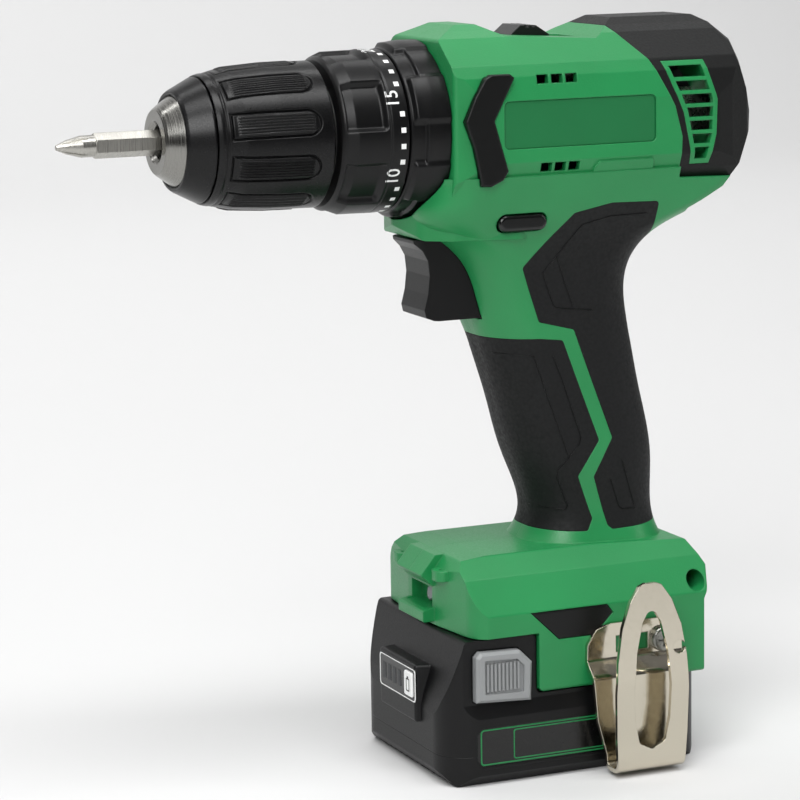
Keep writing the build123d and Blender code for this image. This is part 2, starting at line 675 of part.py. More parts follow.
def chuck_sleeve():
    sleeve = turned(
        (SLEEVE_X, CHUCK_R + GAP), (SLEEVE_X, 18.6), (SLEEVE_X + 1.2, 19.0), (SLEEVE_X + 3.0, 19.2),
        (SLEEVE_X + 8.0, 20.4), (SLEEVE_X + 19.0, 21.2), (SLEEVE_END_X, SLEEVE_R),
        (SLEEVE_END_X, 17.0), (SLEEVE_X + 2.4, 17.0), (SLEEVE_X + 2.4, CHUCK_R + GAP))
    panel = block((SLEEVE_X + 4.4, SLEEVE_END_X - 5.4), (-5.4, 5.4), (AXIS_Z + 19.9, AXIS_Z + 24))
    for i in range(SLEEVE_PANELS):
        sleeve = sleeve - round_axis(panel, (i + 0.5) * 360 / SLEEVE_PANELS)
    made["chuck_sleeve"] = solid(sleeve)


def chuck_nut():
    """The nut inside the sleeve, whose cone clears the jaws' threaded backs."""
    front, rear = NOSE_X + 19.5, NOSE_X + 27.5
    outer_line = JAW_R / cos(radians(JAW_TILT)) + GAP
    made["chuck_nut"] = turned(
        (front, CHUCK_R + GAP), (front, 17.0), (rear, 17.0), (rear, jaw_line_radius(rear) + outer_line),
        (front + 3.5, CHUCK_R + GAP + 0.2))


def screwdriver_bit():
    rear = NOSE_X - BIT_OUT + BIT_LENGTH
    shoulder = NOSE_X - BIT_OUT + 11.0
    hexagon = RegularPolygon(BIT_FLATS / 2, 6, major_radius=False, rotation=BIT_ROTATION)
    shank = prism_x(Pos(0, AXIS_Z) * hexagon, shoulder, rear)
    shank = shank & turned((shoulder, 0), (shoulder, 3.4), (shoulder + 1.2, 4.2), (rear - 0.8, 4.2),
                           (rear, 3.2), (rear, 0))
    tip = turned((NOSE_X - BIT_OUT, 0), (NOSE_X - BIT_OUT, 0.7), (NOSE_X - BIT_OUT + 3.0, 2.0),
                 (NOSE_X - BIT_OUT + 7.2, 3.1), (shoulder + 0.5, 3.12), (shoulder + 0.5, 0))
    flute = Plane(origin=(NOSE_X - BIT_OUT - 1, 0, AXIS_Z + 0.55), z_dir=(1, 0, 0.24))
    notch = make_face(Polyline((0, 0), (4, 2.2), (4, -2.2), close=True))
    for i in range(4):
        groove = extrude(flute * notch, 11.0)
        tip = tip - round_axis(groove, 45 + 90 * i)
    made["screwdriver_bit"] = solid(shank + tip)


# ---- clutch and gearbox -------------------------------------------------------------------
def clutch_ring():
    ring = turned(
        (CLUTCH_X, CLUTCH_BORE_R), (CLUTCH_X, 21.6), (CLUTCH_X + 4.4, CLUTCH_R - 0.1),
        (CLUTCH_X + 12.4, CLUTCH_R), (CLUTCH_END_X, CLUTCH_R - 0.2), (CLUTCH_END_X, CLUTCH_BORE_R))
    scallop = block((CLUTCH_X + 1.6, CLUTCH_X + 11.0), (-4.6, 4.6), (AXIS_Z + 22.4, AXIS_Z + 28))
    for i in range(CLUTCH_SCALLOPS):
        ring = ring - round_axis(scallop, (i + 0.5) * 360 / CLUTCH_SCALLOPS)
    made["clutch_ring"] = solid(ring)


def mode_ring():
    rear = HOUSING_X - GAP
    made["mode_ring"] = turned(
        (MODE_X, GEARBOX_R + GAP), (MODE_X, 23.7), (MODE_X + 4.0, 25.2), (MODE_X + 7.0, MODE_R),
        (rear, MODE_R), (rear, GEARBOX_R + GAP))


def gearbox_case():
    case = turned(
        (NOSE_TUBE_X, 0), (NOSE_TUBE_X, NOSE_TUBE_R), (CASE_X, NOSE_TUBE_R), (CASE_X, GEARBOX_R),
        (GEARBOX_END_X, GEARBOX_R), (GEARBOX_END_X, 0))
    case = case - bar_x(NOSE_TUBE_X - 1, CASE_X + 3.0, BEARING_R)
    case = case - bar_x(CASE_X + 2.9, GEARBOX_END_X + 1, GEARBOX_R - 2.4)
    made["gearbox_case"] = case


def gearbox_plate():
    """The plate between gearbox and motor, with the hole for the pinion's shaft."""
    made["gearbox_plate"] = tube_x(GEARBOX_END_X - 3.0, GEARBOX_END_X, 6.0, GEARBOX_R - 2.4)


def spindle_bearings():
    bearings = []
    for start in (NOSE_TUBE_X + 0.8, CASE_X - 4.4):
        bearings.append(tube_x(start, start + 5.0, SPINDLE_R + RUN, BEARING_R))
    made["spindle_bearings"] = Compound(bearings)


def retaining_ring():
    """The snap ring that holds the clutch ring on the gearbox nose."""
    groove_x = NOSE_TUBE_X + 0.4
    ring = tube_x(groove_x, groove_x + 0.9, NOSE_TUBE_R, CLUTCH_BORE_R - GAP)
    slot = block((groove_x - 1, groove_x + 2), (-2.0, 2.0), (AXIS_Z - 30, AXIS_Z))
    made["retaining_ring"] = solid(ring - slot)


def clutch_nut():
    nut = tube_x(NUT_X, NUT_X + NUT_WIDTH, NOSE_TUBE_R + GAP, CLUTCH_BORE_R - GAP)
    made["clutch_nut"] = nut


def clutch_spring():
    start = NUT_X + NUT_WIDTH + SPRING_WIRE / 2 + 0.1
    length = CASE_X - 0.1 - SPRING_WIRE / 2 - start
    coil = Helix(pitch=length / SPRING_TURNS, height=length, radius=NOSE_TUBE_R + 2.0)
    place = Plane(origin=(start, 0, AXIS_Z), z_dir=(1, 0, 0))
    path = place * coil
    section = Plane(origin=path @ 0, z_dir=path % 0) * Circle(SPRING_WIRE / 2)
    made["clutch_spring"] = sweep(section, path=path, is_frenet=True)


def spindle():
    """The output spindle with the planets' carrier on its rear end."""
    shaft = bar_x(SPINDLE_X, CARRIER_X, SPINDLE_R)
    orbit = GEAR_MODULE * (SUN_TEETH + PLANET_TEETH) / 2
    plate = bar_x(CARRIER_X, CARRIER_X + CARRIER_WIDTH, orbit + 2 * PIN_R)
    pins = []
    for i in range(PLANETS):
        pin = bar_x(CARRIER_X, GEAR_X + GEAR_WIDTH, PIN_R, 0, AXIS_Z + orbit)
        pins.append(round_axis(pin, i * 360 / PLANETS))
    made["spindle"] = solid(shaft + plate + pins)


def hammer_discs():
    """The two toothed discs that make the hammer action."""
    fixed = tube_x(HAMMER_X, HAMMER_X + 2.6, SPINDLE_R + GAP, GEARBOX_R - 2.4)
    turning = tube_x(HAMMER_X + 5.6, HAMMER_X + 8.2, SPINDLE_R, 12.0)
    for i in range(HAMMER_TEETH):
        tooth = block((HAMMER_X + 2.5, HAMMER_X + 3.8), (-1.0, 1.0), (AXIS_Z + 7.0, AXIS_Z + 11.6))
        fixed = fixed + round_axis(tooth, i * 360 / HAMMER_TEETH)
        turning = turning + round_axis(Pos(1.9, 0, 0) * tooth, (i + 0.5) * 360 / HAMMER_TEETH)
    made["hammer_disc_fixed"] = solid(fixed)
    made["hammer_disc_spindle"] = solid(turning)


def gear_points(teeth, addendum, dedendum, thin, turn):
    """Corner points of a spur gear with straight-sided approximations of involute teeth."""
    pitch_r = GEAR_MODULE * teeth / 2
    base_r = pitch_r * cos(PRESSURE_ANGLE)
    involute = tan(PRESSURE_ANGLE) - PRESSURE_ANGLE
    radii = [pitch_r - dedendum, max(base_r, pitch_r - 0.7 * dedendum), pitch_r, pitch_r + addendum]
    flank = []
    for r in radii:
        angle = acos(min(1.0, base_r / r))
        flank.append((r, pi / (2 * teeth) - thin / (2 * pitch_r) + involute - (tan(angle) - angle)))
    points = []
    for i in range(teeth):
        middle = radians(turn) + 2 * pi * i / teeth
        for r, half in flank:
            points.append((r * cos(middle - half), r * sin(middle - half)))
        for r, half in reversed(flank):
            points.append((r * cos(middle + half), r * sin(middle + half)))
    return points


def gear(teeth, addendum, dedendum, thin, turn, low, high):
    """A gear about the chuck axis, turned so that a tooth points `turn` degrees from +Y."""
    face = make_face(Polyline(*gear_points(teeth, addendum, dedendum, thin, turn), close=True))
    return prism_x(Pos(0, AXIS_Z) * face, low, high)


def gears():
    step = 0.85 * GEAR_MODULE
    deep = 1.2 * GEAR_MODULE
    low, high = GEAR_X, GEAR_X + GEAR_WIDTH
    orbit = GEAR_MODULE * (SUN_TEETH + PLANET_TEETH) / 2
    sun = gear(SUN_TEETH, step, deep, BACKLASH, 90, low, high)
    sun_bore = bar_x(low - 1, high + 1, MOTOR_SHAFT_R)
    made["motor_pinion"] = solid(sun - sun_bore)
    planet = gear(PLANET_TEETH, step, deep, BACKLASH, 90 + 180 / PLANET_TEETH, low + 0.3, high - 0.3)
    planet = solid(planet - bar_x(low - 1, high + 1, PIN_R + RUN))
    for i in range(PLANETS):
        made[f"planet_gear_{i + 1}"] = round_axis(Pos(0, 0, orbit) * planet, i * 360 / PLANETS)
    space = gear(RING_TEETH, deep, step, -BACKLASH, 90 + 180 / RING_TEETH, low - 2, high + 2)
    ring = bar_x(low - 1, high + 1, GEARBOX_R - 2.4) - space
    made["ring_gear"] = solid(ring)


# ---- motor --------------------------------------------------------------------------------
def motor():
    can = bar_x(MOTOR_X, MOTOR_END_X, MOTOR_R) - bar_x(MOTOR_X + 1.4, MOTOR_END_X + 1, MOTOR_R - 1.4)
    can = can - bar_x(MOTOR_X - 1, MOTOR_X + 2, MOTOR_SHAFT_R + GAP)
    vent = block((MOTOR_END_X - 14, MOTOR_END_X - 6), (-4, 4), (AXIS_Z, AXIS_Z + 30))
    for i in range(4):
        can = can - round_axis(vent, 45 + 90 * i)
    made["motor_can"] = solid(can)

    magnet = turned((MOTOR_X + 6, MOTOR_R - 4.4), (MOTOR_X + 6, MOTOR_R - 1.4),
                    (MOTOR_END_X - 15, MOTOR_R - 1.4), (MOTOR_END_X - 15, MOTOR_R - 4.4))
    gap = block((MOTOR_X, MOTOR_END_X), (-3.0, 3.0), (AXIS_Z - 30, AXIS_Z + 30))
    made["motor_magnets"] = Compound((magnet - gap).solids())

    cap = bar_x(MOTOR_END_X - 3, MOTOR_END_X, MOTOR_R - 1.4 - FIT) + bar_x(MOTOR_END_X, MOTOR_END_X + 2, 7.0)
    cap = cap - bar_x(MOTOR_END_X - 4, MOTOR_END_X + 3, MOTOR_SHAFT_R + RUN)
    made["motor_end_cap"] = solid(cap)

    shaft = bar_x(GEAR_X, FAN_X + 5.0, MOTOR_SHAFT_R)
    core = bar_x(MOTOR_X + 8, MOTOR_END_X - 17, MOTOR_R - 5.2)
    slot = block((MOTOR_X, MOTOR_END_X), (-0.9, 0.9), (AXIS_Z + 6.0, AXIS_Z + 30))
    for i in range(5):
        core = core - round_axis(slot, i * 72)
    commutator = bar_x(MOTOR_END_X - 14, MOTOR_END_X - 4, 5.0)
    made["motor_rotor"] = solid(shaft + core + commutator)

    brush = block((MOTOR_END_X - 12, MOTOR_END_X - 7), (5.0 + RUN, 12.0), (AXIS_Z - 2, AXIS_Z + 2))
    brush = brush - bar_x(0, 80, 5.0 + RUN)
    made["motor_brushes"] = Compound([brush, mirrored(brush)])

    fan = tube_x(FAN_X, FAN_X + 1.2, MOTOR_SHAFT_R, FAN_R)
    fan = fan + tube_x(FAN_X, FAN_X + 4.0, MOTOR_SHAFT_R, 4.5)
    blade = block((FAN_X + 1.1, FAN_X + 5.0), (-0.6, 0.6), (AXIS_Z + 5.5, AXIS_Z + FAN_R))
    for i in range(FAN_BLADES):
        fan = fan + round_axis(blade, i * 360 / FAN_BLADES)
    made["motor_fan"] = solid(fan)


# ---- controls -----------------------------------------------------------------------------
def trigger():
    half = TRIGGER_HALF
    face = outline([
        (-43.4, TRIGGER_TOP_Z - 0.2), (-43.2, TRIGGER_TOP_Z - 1.2), (-40.8, 156.6), (-39.2, 153.6),
        (-38.7, 149.0), (-39.3, 143.6), (-40.5, 139.0), (-40.0, TRIGGER_LOW_Z + 1.2),
        (-37.6, TRIGGER_LOW_Z + 0.2), (-36.0, TRIGGER_LOW_Z), (TRIGGER_END_X, TRIGGER_LOW_Z),
        (TRIGGER_END_X, TRIGGER_TOP_Z), (-42.6, TRIGGER_TOP_Z),
    ])
    lever = prism_y(face, -half, half)
    plan = fillet(outline([(-46, -half), (TRIGGER_END_X, -half), (TRIGGER_END_X, half), (-46, half)])
                  .vertices().group_by(Axis.X)[0], 6.0)
    lever = lever & prism_z(plan, 120, 180)
    lever = lever - block((-37.0, TRIGGER_END_X + 1), (-half + 1.8, half - 1.8),
                          (TRIGGER_LOW_Z + 1.8, TRIGGER_TOP_Z - 1.8))
    stem = bar_x(-37.5, SWITCH_X + 5.0, 2.2, 0, SWITCH_Z)
    made["trigger"] = solid(lever + stem)


def trigger_spring():
    start, end = -36.4, SWITCH_X - 0.5
    coil = Helix(pitch=(end - start) / 7, height=end - start, radius=3.4)
    path = Plane(origin=(start, 0, SWITCH_Z), z_dir=(1, 0, 0)) * coil
    section = Plane(origin=path @ 0, z_dir=path % 0) * Circle(0.35)
    made["trigger_spring"] = sweep(section, path=path, is_frenet=True)


def switch_body():
    body = block((SWITCH_X, SWITCH_X + 22), (-8.0, 8.0), (SWITCH_Z - 9, SWITCH_Z + 9))
    made["switch_body"] = body - bar_x(SWITCH_X - 1, SWITCH_X + 5.0 + TRIGGER_TRAVEL + 2, 2.2 + GAP, 0, SWITCH_Z)


def direction_selector():
    """The push-through button over the trigger that sets the direction of turning."""
    x0, x1, low, high = CAPSULE
    bar = prism_y(stadium(x0, x1, low, high), -CAPSULE_HALF, CAPSULE_HALF)
    ends = bar.faces().filter_by(Axis.Y)
    made["direction_selector"] = fillet(ends.edges(), 1.1)


def speed_selector():
    """The sliding knob on top that shifts the gearbox."""
    top = AXIS_Z + 29.2
    face = outline([
        (-10.6, AXIS_Z + 24.9), (-10.6, AXIS_Z + 26.4), (-7.2, top), (-2.2, top - 0.2),
        (2.2, AXIS_Z + 26.2), (2.2, AXIS_Z + 24.9),
    ], 0.5)
    half = SLOT_HALF - GAP
    knob = prism_y(face, -half, half)
    knob = knob - [block((-5.4 + 2.0 * i, -4.6 + 2.0 * i), (-10, 10), (top - 0.7, top + 2)) for i in range(3)]
    tongue = block((-6.0, -2.0), (-3.0, 3.0), (AXIS_Z + 21.0, AXIS_Z + 25.2))
    plate = block((-10.9, 3.0), (-half, half), (AXIS_Z + 23.4, AXIS_Z + 25.1))
    made["speed_selector"] = solid(knob + tongue + plate)


# ---- battery ------------------------------------------------------------------------------
def battery_shape(inset=0.0):
    """The battery's outer shape: a low tray, a front block and a tongue under the foot."""
    half = BATTERY_HALF - inset
    front, rear = BATTERY_X + inset, BATTERY_END_X - inset
    plan = outline([(front, -half), (rear, -half), (rear, half), (front, half)],
                   BATTERY_CORNER - inset)
    side = outline([
        (front + 3.5, inset), (front, 4.0), (front, 21.0), (front + 0.9, 25.5),
        (FOOT_X - 0.6 + inset, DECK_TOP_Z - inset), (SKIRT_X - GAP - inset, DECK_TOP_Z - inset),
        (SKIRT_X - GAP - inset, BATTERY_DECK_Z - inset), (rear, BATTERY_DECK_Z - inset),
        (rear, 4.0), (rear - 3.0, inset),
    ], 1.5)
    shape = prism_z(plan, 0, 60) & prism_y(side, -40, 40)
    wide = half + LOOSE
    waist = [(half - 2.5, inset), (wide, 3.5), (wide, 19.0), (half - 1.4, 24.5), (half - 1.4, 50)]
    ends = outline([(-y, z) for y, z in waist] + [(y, z) for y, z in reversed(waist)])
    shape = shape & prism_x(ends, -60, 60)
    tongue_half = FOOT_HALF - SKIRT_WALL - GAP - inset
    tongue = block((SKIRT_X - 3, BATTERY_END_X - 4.0 - inset), (-tongue_half, tongue_half),
                   (BATTERY_DECK_Z - 3, DECK_TOP_Z - inset))
    boss = prism_z(outline([(BATTERY_X - 1.6 + inset, -13 + inset), (BATTERY_X + 9, -16 + inset),
                            (BATTERY_X + 9, 16 - inset), (BATTERY_X - 1.6 + inset, 13 - inset)], 1.0),
                   SEAM_Z + 7 + inset, 33.5 - inset)
    if not inset:
        boss = fillet(boss.edges().group_by(Axis.X)[0], 1.0)
    return shape + tongue + boss


def battery_cases():
    body = battery_shape()
    hollow = battery_shape(BATTERY_WALL) & block((-60, 60), (-40, 40), (BATTERY_WALL, 60))
    for blade in blade_places():
        body = body - block((BLADE_X - 3, 60), (blade - 1.0, blade + 1.0), (BLADE_LOW_Z - 0.6, 60))
    body = body - hollow
    for side in (1, -1):
        reach = sorted((side * (BATTERY_HALF - 5.2), side * (BATTERY_HALF + 5)))
        body = body - prism_y(latch_face(GAP), *reach)
        recess = sorted((side * (BATTERY_HALF - LABEL_DEPTH), side * (BATTERY_HALF + 5)))
        body = body - prism_y(label_face(), *recess)
    face_x = BATTERY_X - 1.6
    body = body - prism_x(gauge_face(FIT), face_x - 1, face_x + GAUGE_DEPTH)
    body = body - prism_x(gauge_button_face(GAP / 2), face_x - 1, face_x + 6)
    seam = outline([(-60, -1), (-60, SEAM_Z), (-36.5, SEAM_Z), (-34.0, SEAM_LOW_Z), (60, SEAM_LOW_Z),
                    (60, -1)])
    lower = body & prism_y(seam, -40, 40)
    treads = [block((BATTERY_X - 1, BATTERY_X + 8), (y - 0.9, y + 0.9), (-1, 1.0)) for y in range(-24, 25, 4)]
    made["battery_lower_case"] = solid(lower - treads)
    made["battery_upper_case"] = solid(body - prism_y(seam, -40, 40))


def latch_face(grow=0.0):
    return offset(outline([(-37.0, 25.6), (-19.2, 24.6), (-18.8, 36.2), (-22.8, 40.2), (-35.6, 40.6),
                           (-37.0, 39.2)]), grow, kind=Kind.INTERSECTION)


def label_face(grow=0.0):
    return offset(outline([(-36.4, 7.6), (-34.6, 5.6), (26.0, 5.6), (26.0, 17.4), (-34.6, 17.4),
                           (-36.4, 15.6)]), grow, kind=Kind.INTERSECTION)


def gauge_face(grow=0.0):
    return offset(outline([(-13.0, 22.0), (13.0, 22.0), (13.0, 32.0), (-13.0, 32.0)], 1.2), grow)


def gauge_button_face(grow=0.0):
    return offset(outline([(-11.6, 23.2), (-5.8, 23.2), (-5.8, 30.8), (-11.6, 30.8)], 0.8), grow)


def blade_places():
    """Distances from the middle of the contact blades between tool and battery."""
    return [BLADE_PITCH * (i - (BLADES - 1) / 2) for i in range(BLADES)]


def battery_labels():
    floor = BATTERY_HALF - LABEL_DEPTH
    label = prism_y(label_face(-FIT), floor, floor + 0.4)
    made["battery_labels"] = Compound([label, mirrored(label)])


def latch_buttons():
    """The two grey buttons that free the battery."""
    for name, side in (("left", -1), ("right", 1)):
        button = prism_y(latch_face(), BATTERY_HALF - 2.6, BATTERY_HALF + 1.4)
        outer = button.faces().sort_by(Axis.Y)[-1]
        button = chamfer(outer.edges(), 0.9)
        dish = outline([(-34.4, 28.0), (-21.8, 27.4), (-21.6, 35.6), (-24.0, 37.8), (-34.4, 38.2)], 0.5)
        button = button - prism_y(dish, BATTERY_HALF + 0.5, BATTERY_HALF + 3)
        for i in range(LATCH_RIBS):
            x = -33.4 + i * 1.25
            button = button + block((x - 0.35, x + 0.35), (BATTERY_HALF + 0.2, BATTERY_HALF + 1.2), (28.6, 37.0))
        stem = block((-30.5, -25.5), (BATTERY_HALF - 5.0, BATTERY_HALF - 2.5), (30.0, 35.0))
        button = solid(button + stem)
        made[f"latch_button_{name}"] = button if side > 0 else mirrored(button)


def gauge():
    face_x = BATTERY_X - 1.6
    panel = prism_x(gauge_face(), face_x + 0.1, face_x + GAUGE_DEPTH) - prism_x(
        gauge_button_face(GAP / 2), face_x - 1, face_x + 6)
    made["gauge_panel"] = solid(panel)
    button = prism_x(gauge_button_face(), face_x - 0.4, face_x + GAUGE_DEPTH + 1.0)
    made["gauge_button"] = chamfer(button.faces().sort_by(Axis.X)[0].edges(), 0.25)


def battery_insides():
    pitch = 2 * CELL_R + 0.3
    low = BATTERY_X + 9.0
    cells = []
    for i in range(CELLS):
        y = pitch * (i - (CELLS - 1) / 2)
        z = BATTERY_WALL + CELL_R + 0.2
        cell = bar_x(low, low + CELL_LENGTH, CELL_R, y, z) + bar_x(low - 1.2, low, 3.0, y, z)
        cells.append(cell)
    made["battery_cells"] = Compound(cells)
    deck = BATTERY_WALL + 2 * CELL_R + 1.2
    made["battery_board"] = block((-30, 30), (-20, 20), (deck, deck + 1.6))
    clips = []
    for y in blade_places():
        for side in (-1, 1):
            near = y + side * 0.45
            far = y + side * 1.0
            clips.append(block((BLADE_X, BLADE_X + 7), sorted((near, far)), (deck + 1.6, BLADE_LOW_Z + 6)))
    made["battery_terminals"] = Compound(clips)


def terminal_block():
    """The tool's half of the battery contact: a carrier with blades."""
    floor = FOOT_CEILING_Z + FLOOR
    base = block((BLADE_X - 4, BLADE_X + 12), (-16, 16), (floor, floor + 5))
    blades = [block((BLADE_X, BLADE_X + 8), (y - 0.4, y + 0.4), (BLADE_LOW_Z, floor))
              for y in blade_places()]
    made["terminal_block"] = solid(base)
    made["terminal_blades"] = Compound(blades)


# ---- belt hook ----------------------------------------------------------------------------
def hook_outline(half_widths):
    """A symmetric outline from (half width, height) pairs, about the hook's middle."""
    left = [(HOOK_CENTRE_X - half, z) for half, z in half_widths]
    right = [(HOOK_CENTRE_X + half, z) for half, z in reversed(half_widths)]
    return outline(left + right, 1.0)


def belt_hook():
    """One strip of sheet steel: plate on the foot, a turn at the bottom, and the outer loop."""
    plate_y = -FOOT_HALF - FIT - HOOK_SHEET / 2
    stand_y = plate_y - HOOK_STAND
    loop_y = stand_y - HOOK_SHEET - HOOK_GAP
    path = FilletPolyline(
        (plate_y, HOOK_TOP_Z), (plate_y, 34.0), (stand_y, 29.5), (stand_y, HOOK_BASE_Z),
        (loop_y, HOOK_BASE_Z), (loop_y - 1.0, 30.0), (loop_y + 0.8, HOOK_LOOP_TOP_Z), radius=2.2)
    strip = prism_x(trace(path, HOOK_SHEET), HOOK_CENTRE_X - 18, HOOK_CENTRE_X + 18)
    middle = (stand_y + loop_y) / 2
    plate = prism_y(hook_outline([
        (11.0, 0), (11.4, 6.0), (14.3, 16.5), (15.2, 26.0), (16.0, 33.0), (15.8, 39.0),
        (13.0, 43.4), (8.0, HOOK_TOP_Z)]), middle, 0)
    loop_face = hook_outline([
        (11.0, 0), (11.7, 12.0), (12.0, 26.0), (11.4, 36.0), (9.8, 45.5), (7.0, 53.0),
        (3.6, 57.8), (1.6, HOOK_LOOP_TOP_Z)])
    x, half, low, high = HOOK_CENTRE_X, HOOK_EYE_HALF, HOOK_EYE_LOW_Z, HOOK_EYE_TOP_Z
    side = [(half * share, low + (high - low) * rise) for share, rise in HOOK_EYE_SHAPE]
    eye = outline([(x, low)] + [(x + u, z) for u, z in side] + [(x, high)]
                  + [(x - u, z) for u, z in reversed(side)], 2.0)
    loop = prism_y(loop_face, -70, middle) - prism_y(eye, -70, middle)
    hook = strip & (plate + loop)
    hook = hook - block((8.6, 19.4), (middle, 0), (36.0, 41.0))
    made["belt_hook"] = solid(hook - bar_y(-60, 0, HOOK_SCREW_R + FIT, HOOK_SCREW_X, HOOK_SCREW_Z))


def hook_screw():
    face_y = -FOOT_HALF - FIT - HOOK_SHEET
    screw = bar_y(face_y, face_y + SKIRT_WALL + HOOK_SHEET - 0.4, HOOK_SCREW_R, HOOK_SCREW_X, HOOK_SCREW_Z)
    head = bar_y(face_y - 2.0, face_y, 3.8, HOOK_SCREW_X, HOOK_SCREW_Z)
    head = fillet(head.edges().sort_by(Axis.Y)[0], 0.9)
    recess = [Pos(HOOK_SCREW_X, face_y - 2.0, HOOK_SCREW_Z) * Box(*size)
              for size in ((4.2, 2.4, 0.9), (0.9, 2.4, 4.2))]
    made["hook_screw"] = solid(screw + head - recess)


# ---- the whole tool -----------------------------------------------------------------------
housing_halves()
rear_cap()
vent_grilles()
name_plates()
side_bumpers()
foot_pads()
grip_rubbers()
housing_screws()
led_lamp()
chuck_body()
chuck_jaws()
chuck_collar()
chuck_sleeve()
chuck_nut()
screwdriver_bit()
clutch_ring()
mode_ring()
gearbox_case()
gearbox_plate()
spindle_bearings()
retaining_ring()
clutch_nut()
clutch_spring()
spindle()
hammer_discs()
gears()
motor()
trigger()
trigger_spring()
switch_body()
direction_selector()
speed_selector()
battery_cases()
battery_labels()
latch_buttons()
gauge()
battery_insides()
terminal_block()
belt_hook()
hook_screw()

for name, shape in made.items():
    export_step(shape, f"parts/{name}.step")
    print(f"{name}: {shape.volume:.1f} mm3")
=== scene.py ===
# %% [markdown]
# # A cordless drill: looks for a moulded, turned and plated tool
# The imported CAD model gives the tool's shape and place. This script adds what the eye reads as
# real: moulded textures, rubber grain, turned and plated metal, printed scales and the fine relief
# of the gripping rings. Blender works in metres; sizes here are in millimetres and turned by `MM`.

# %% Load the frame and note its box
import json
import math

import bmesh
import bpy
from mathutils import Matrix, Vector
from mathutils.bvhtree import BVHTree


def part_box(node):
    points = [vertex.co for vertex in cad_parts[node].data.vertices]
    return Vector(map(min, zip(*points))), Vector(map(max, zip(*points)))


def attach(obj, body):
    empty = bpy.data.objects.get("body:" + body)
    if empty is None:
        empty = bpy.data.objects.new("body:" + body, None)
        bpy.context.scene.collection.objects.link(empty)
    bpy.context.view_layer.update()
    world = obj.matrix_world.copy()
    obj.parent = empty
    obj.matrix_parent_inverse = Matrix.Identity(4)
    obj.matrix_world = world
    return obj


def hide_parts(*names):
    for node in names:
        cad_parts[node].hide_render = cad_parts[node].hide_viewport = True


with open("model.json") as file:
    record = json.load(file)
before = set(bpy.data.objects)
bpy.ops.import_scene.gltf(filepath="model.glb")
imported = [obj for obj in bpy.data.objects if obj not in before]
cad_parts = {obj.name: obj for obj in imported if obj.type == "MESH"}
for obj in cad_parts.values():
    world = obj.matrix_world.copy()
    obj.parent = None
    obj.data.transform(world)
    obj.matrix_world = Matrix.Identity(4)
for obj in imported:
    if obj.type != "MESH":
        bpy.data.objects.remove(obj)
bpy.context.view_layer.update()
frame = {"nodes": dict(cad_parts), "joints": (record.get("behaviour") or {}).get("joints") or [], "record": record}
nodes = frame["nodes"]
slot_of = {part["node"]: part["material_slot"] for part in frame["record"]["subparts"]}
joints = {joint["name"]: joint for joint in frame["joints"]}
MM = 0.001
AXIS_Z = joints["spindle_spin"]["pos_m"][2]  # height of the chuck's axis


# %% [markdown]
# ## Materials
# Every material is one Principled shader. `add` makes a node with its settings and links in one
# call, so a material reads as a short recipe. Colours are given as sRGB hex, as on a colour card,
# and turned into linear light. Grain sizes are given in millimetres and turned into the noise's
# scale, because object coordinates are in metres.

# %% Shader helpers
NOISE_SPAN = (0.3, 0.7)  # where most of a noise texture's values lie


def linear(code):
    """sRGB hex to linear red, green, blue and an alpha of one."""
    channels = [int(code[i:i + 2], 16) / 255 for i in (0, 2, 4)]
    return [c / 12.92 if c < 0.04045 else ((c + 0.055) / 1.055) ** 2.4 for c in channels] + [1.0]


def add(tree, kind, inputs=(), **settings):
    """Adds a shader node: settings are its properties, inputs are values or links by socket."""
    made = tree.nodes.new(kind)
    for key, value in settings.items():
        setattr(made, key, value)
    for key, value in dict(inputs).items():
        if isinstance(value, bpy.types.NodeSocket):
            tree.links.new(value, made.inputs[key])
        else:
            made.inputs[key].default_value = value
    return made


def per_mm(size):
    """The noise scale whose grains are about `size` millimetres."""
    return 1 / (size * MM)


def blank(name, inputs):
    """A new material with one Principled shader that has the given values."""
    material = bpy.data.materials.new(name)
    material.use_nodes = True
    shader = material.node_tree.nodes["Principled BSDF"]
    for key, value in inputs.items():
        shader.inputs[key].default_value = value
    return material, material.node_tree, shader


def position(tree):
    """Object coordinates, so that a grain stays with its piece as it moves."""
    return add(tree, "ShaderNodeTexCoord").outputs["Object"]


def remap(tree, value, source, target):
    """Maps a value socket from one (low, high) span to another."""
    return add(tree, "ShaderNodeMapRange", {
        "Value": value, "From Min": source[0], "From Max": source[1],
        "To Min": target[0], "To Max": target[1]}).outputs["Result"]


def vary_gloss(tree, shader, value, target, source=NOISE_SPAN):
    """Lets a noise move the roughness within the target span."""
    tree.links.new(remap(tree, value, source, target), shader.inputs["Roughness"])


def soften(tree, shader, height, strength, depth, edge):
    """Rounds edges by `edge` mm and adds a bump `depth` mm deep from a height socket."""
    bevel = add(tree, "ShaderNodeBevel", {"Radius": edge * MM}, samples=6)
    bump = add(tree, "ShaderNodeBump", {
        "Strength": strength, "Distance": depth * MM, "Height": height,
        "Normal": bevel.outputs["Normal"]})
    tree.links.new(bump.outputs["Normal"], shader.inputs["Normal"])


